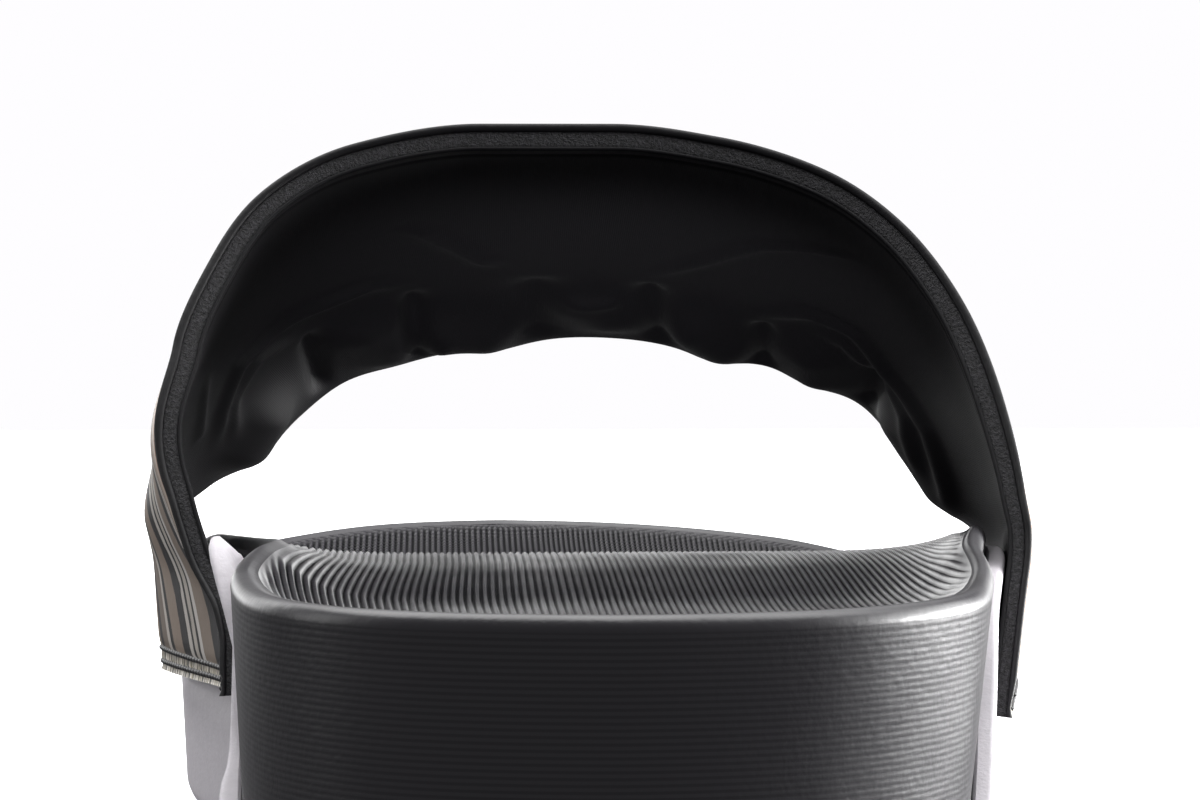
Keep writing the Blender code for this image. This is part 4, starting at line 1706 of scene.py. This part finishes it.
    def fold_field(self, place: Array, share: Array) -> Array:
        """Return how far the lining stands in from the foam at each place.

        Args:
            place: row numbers of the strap's table.
            share: 0 at the rear edge, 1 at the front edge.

        Returns:
            The rises, in millimetres.
        """
        scale = np.array([self.folds_length, self.folds_width])
        round_strap = place[:, None] / (len(self.shape.rows) - 1) * scale[0] + 0 * share[None, :]
        across = share[None, :] * scale[1] + 0 * round_strap
        total = 0 * round_strap
        for fold in LINING_FOLDS:
            away, travelled = self.from_path(np.array(fold.places) * scale, round_strap, across)
            # A fold that tapers dies away toward both of its ends.
            fade = 1.0
            if fold.tapers:
                fade = smoothstep(travelled / 0.25) * smoothstep((1 - travelled) / 0.2)
            total = total + fold.rise * fade * np.exp(-(away / fold.width) ** 2)
        return total

    def from_path(self, path: Array, round_strap: Array, across: Array) -> tuple[Array, Array]:
        """Return each place's distance from a path, and how far along it is nearest.

        Args:
            path: the path's points, round the strap and across it.
            round_strap: places round the strap.
            across: places across it.

        Returns:
            Distances, and shares of the path's length.
        """
        nearest = np.full(round_strap.shape, np.inf)
        travelled = 0 * round_strap
        run = self.run(path)
        for start, end, begun in zip(path, path[1:], run):
            line = end - start
            length = float(np.hypot(*line))
            along = ((round_strap - start[0]) * line[0] + (across - start[1]) * line[1]) / length ** 2
            along = np.clip(along, 0, 1)
            away = np.hypot(round_strap - start[0] - along * line[0],
                            across - start[1] - along * line[1])
            closer = away < nearest
            nearest = np.where(closer, away, nearest)
            travelled = np.where(closer, (begun + along * length) / run[-1], travelled)
        return nearest, travelled

    def layer(self, name: str, grid: Array, normals: Array, under: Array, over: Array, uv: Array,
              hem: Array, material: bpy.types.Material, rounding: float) -> bpy.types.Object:
        """Make one closed layer of the strap between two distances from its inner face.

        Args:
            name: the piece's name.
            grid: the inner face.
            normals: its outward normals.
            under: distance of the layer's inner side.
            over: distance of its outer side.
            uv: UV places of the grid.
            hem: 1 on the sewn hem, 0 elsewhere.
            material: the layer's finish.
            rounding: how far the rounded edge reaches past the grid, in millimetres.

        Returns:
            The layer.
        """
        inside = grid + normals * under[..., None]
        outside = grid + normals * over[..., None]
        turns = np.radians(np.linspace(0, 180, 9)[1:-1])

        def rounded(column: int, neighbour: int) -> Array:
            """Return the rounded edge beside a column, from the inner side to the outer.

            Args:
                column: the column at the edge.
                neighbour: the one next to it.

            Returns:
                Points by row and turn.
            """
            out = grid[:, column] - grid[:, neighbour]
            out /= np.linalg.norm(out, axis=-1, keepdims=True)
            middle = (inside[:, column] + outside[:, column]) / 2
            half = (outside[:, column] - inside[:, column]) / 2
            return np.stack([middle - half * math.cos(turn) + out * rounding * math.sin(turn)
                             for turn in turns], axis=1)

        front = rounded(-1, -2)
        rear = rounded(0, 1)[:, ::-1]
        rows, columns = grid.shape[:2]
        extra = len(turns)
        points = np.concatenate([inside, front, outside[:, ::-1], rear], axis=1)
        ends = np.ones((1, extra, 1))
        places = np.concatenate([uv, uv[:, -1:] * ends, uv[:, ::-1], uv[:, :1] * ends], axis=1)
        edge = np.concatenate([np.zeros(columns), np.ones(extra), np.zeros(columns), np.ones(extra)])
        bare = np.zeros((rows, extra))
        hems = np.concatenate([0 * hem, bare, hem[:, ::-1], bare], axis=1)
        count = points.shape[1]
        faces = grid_faces(rows, count, closed=True)
        for row in (0, rows - 1):
            inner_ids = np.arange(columns) + row * count
            outer_ids = (np.arange(columns) + columns + extra)[::-1] + row * count
            front_ids = (np.arange(extra) + columns + row * count).tolist()
            rear_ids = (np.arange(extra) + 2 * columns + extra + row * count).tolist()
            for j in range(columns - 1):
                faces.append((int(inner_ids[j]), int(inner_ids[j + 1]),
                              int(outer_ids[j + 1]), int(outer_ids[j])))
            faces.append((int(inner_ids[-1]), *front_ids, int(outer_ids[-1])))
            faces.append((int(outer_ids[0]), *rear_ids, int(inner_ids[0])))
        return make_object(name, points.reshape(-1, 3), faces, material, sharp_deg=60.0,
                           attributes={"cut_edge": np.tile(edge, rows), "hem": hems.ravel()},
                           uv=places.reshape(-1, 2))


@dataclass(frozen=True)
class SoftBox:
    """One soft light: its name, place, size, power and target, in metres and watts."""

    name: str
    place: tuple[float, float, float]
    size: tuple[float, float]
    power: float
    target: tuple[float, float, float] = (0.0, -0.03, 0.04)
    spread_deg: float = 180.0


@dataclass
class Studio:
    """The plain studio: a pale floor, soft lights and the camera at the photograph's angle."""

    turn_deg: float = 2.5
    distance: float = 374.0
    sideways: float = 2.3
    eye_height: float = 74.0
    focal_px: float = 3953.0
    horizon_px: float = 268.0
    image_width: int = 1200
    image_height: int = 800
    behind: float = 0.30
    ahead: float = 0.13
    floor_reach: float = 1.3
    floor_drop: float = 0.1 * MM
    floor_glow: float = 0.7
    # A wide one above for the rims, a strong side one for the heel's right, and low small ones.
    lights: tuple[SoftBox, ...] = (
        SoftBox("Overhead", (0.02, 0.05, 0.75), (1.3, 0.6), 13.0),
        SoftBox("Overhead_ahead", (0.0, 0.55, 0.60), (0.9, 0.4), 2.0),
        SoftBox("Right_side", (0.82, 0.24, 0.28), (0.8, 0.6), 9.0),
        SoftBox("Right_low", (0.50, 0.07, 0.060), (0.45, 0.11), 7.0),
        SoftBox("Right_behind", (0.80, -0.25, 0.30), (0.4, 0.6), 2.0),
        SoftBox("Left_ahead", (-0.65, 0.85, 0.35), (0.4, 0.6), 3.0),
        SoftBox("Left_side", (-0.85, 0.0, 0.30), (0.4, 0.6), 1.5),
        SoftBox("Arch_card", (0.0, -0.02, 0.048), (0.06, 0.02), 0.02, (0.0, 0.05, 0.066), 95.0),
        SoftBox("Back_low", (0.0, 1.0, 0.09), (1.4, 0.14), 2.0),
    )

    def build(self) -> None:
        """Make the floor, the lights, the world and the camera."""
        self.make_floor()
        self.make_camera()
        for light in self.lights:
            self.make_light(light)
        self.make_world()
        bpy.context.scene.view_settings.view_transform = "Standard"

    def make_world(self) -> None:
        """Make the room: white to look at, dark ahead of the camera and dim behind it."""
        world = bpy.data.worlds.new("Studio")
        world.use_nodes = True
        tree = world.node_tree
        backdrop = tree.nodes["Background"]
        backdrop.inputs["Color"].default_value = linear("fefdff")
        direction = add_node(tree, "ShaderNodeTexCoord").outputs["Generated"]
        parts = add_node(tree, "ShaderNodeSeparateXYZ", inputs={0: direction})
        ahead = add_node(tree, "ShaderNodeMapRange", inputs={
            "Value": parts.outputs["Y"], "From Min": -0.5, "From Max": 0.7,
            "To Min": self.behind, "To Max": self.ahead})
        room = add_node(tree, "ShaderNodeBackground", inputs={
            "Color": linear("fbfaff"), "Strength": ahead.outputs["Result"]})
        seen = add_node(tree, "ShaderNodeLightPath").outputs["Is Camera Ray"]
        blend = add_node(tree, "ShaderNodeMixShader", inputs={
            0: seen, 1: room.outputs[0], 2: backdrop.outputs[0]})
        tree.links.new(blend.outputs[0], tree.nodes["World Output"].inputs["Surface"])
        bpy.context.scene.world = world

    def make_floor(self) -> None:
        """Make the pale floor, a lit sheet that the dark foam doesn't mirror."""
        material, tree, shader = new_material("Back-lit opal acrylic sheet, white")
        place = add_node(tree, "ShaderNodeTexCoord").outputs["Object"]
        # A faint cloud keeps the sheet from reading as a flat computer white.
        cloud = add_node(tree, "ShaderNodeTexNoise", inputs={"Vector": place, "Scale": 3.0})
        colour = add_node(tree, "ShaderNodeMix", {"data_type": "RGBA"}, {
            0: cloud.outputs["Fac"], 6: linear("f7f6f9"), 7: linear("fcfbfd")})
        tree.links.new(colour.outputs[2], shader.inputs["Base Color"])
        shader.inputs["Roughness"].default_value = 0.9
        shader.inputs["Specular IOR Level"].default_value = 0.1
        shader.inputs["Emission Color"].default_value = linear("fefdff")
        shader.inputs["Emission Strength"].default_value = self.floor_glow
        data = bpy.data.meshes.new("studio_floor")
        reach = self.floor_reach
        corners = ((-reach, -reach), (reach, -reach), (reach, reach), (-reach, reach))
        data.from_pydata([(*corner, -self.floor_drop) for corner in corners], [], [(0, 1, 2, 3)])
        data.materials.append(material)
        floor = put_in_scene("studio_floor", data)
        # The sheet glows like a light table, and would grey the dark foam if it lit it.
        floor.visible_glossy = False
        floor.visible_diffuse = False

    def make_light(self, box: SoftBox) -> None:
        """Add a soft box.

        Args:
            box: its name, place, size, power and target.
        """
        data = bpy.data.lights.new(box.name, "AREA")
        data.shape = "RECTANGLE"
        data.size, data.size_y = box.size
        data.energy = box.power
        data.spread = math.radians(box.spread_deg)
        light = put_in_scene(box.name, data)
        light.visible_camera = False
        light.location = box.place
        facing = Vector(box.target) - Vector(box.place)
        light.rotation_euler = facing.to_track_quat("-Z", "Y").to_euler()

    def make_camera(self) -> None:
        """Place the camera behind the heel, a little above the strap's middle."""
        turn = math.radians(self.turn_deg)
        place = Vector((
            -self.sideways * math.cos(turn) - self.distance * math.sin(turn),
            self.sideways * math.sin(turn) - self.distance * math.cos(turn),
            self.eye_height,
        ))
        pitch = math.atan((self.image_height / 2 - self.horizon_px) / self.focal_px)
        data = bpy.data.cameras.new("Camera")
        data.sensor_width = 36.0
        data.lens = self.focal_px / self.image_width * data.sensor_width
        data.clip_start = 0.01
        camera = put_in_scene("Camera", data)
        camera.location = (place + Vector(FRAME_SHIFT)) * MM
        camera.rotation_euler = (math.pi / 2 - pitch, 0.0, -turn)
        bpy.context.scene.camera = camera


def main() -> None:
    """Build the studio, and then the sandal's pieces in order."""
    logging.basicConfig(level=logging.INFO, format="%(name)s: %(message)s")
    Studio().build()
    sole = SoleShape()
    foam = MouldedFoam().make()
    # The beaded top's grooves get strong painted shade: nearly black and almost without gloss.
    top_foam = MouldedFoam(name="Moulded EVA foam, charcoal, beaded", roughness=0.33,
                           rib_pitch_mm=0.82, groove_shade_gloss=0.08, groove_shade_colour="08080a", shine=0.4,
                           crossed_from_mm=100.0).make()
    footbed = Footbed(shape=sole, foam=foam, top_foam=top_foam, ribs=rib_tree())
    strap = Strap(
        shape=StrapShape(sole=sole), lining=SmoothLining().make(), foam=CutFoam().make(),
        skin=PrintedSkin().make(), thread=Thread().make(), stitches=stitch_tree())
    outsole = Outsole(shape=sole, foam=CarrierFoam().make())
    for part in (footbed, strap, outsole):
        for piece in part.build():
            LOG.info("%s: %d faces", piece.name, len(piece.data.polygons))


if __name__ == "__main__":
    main()
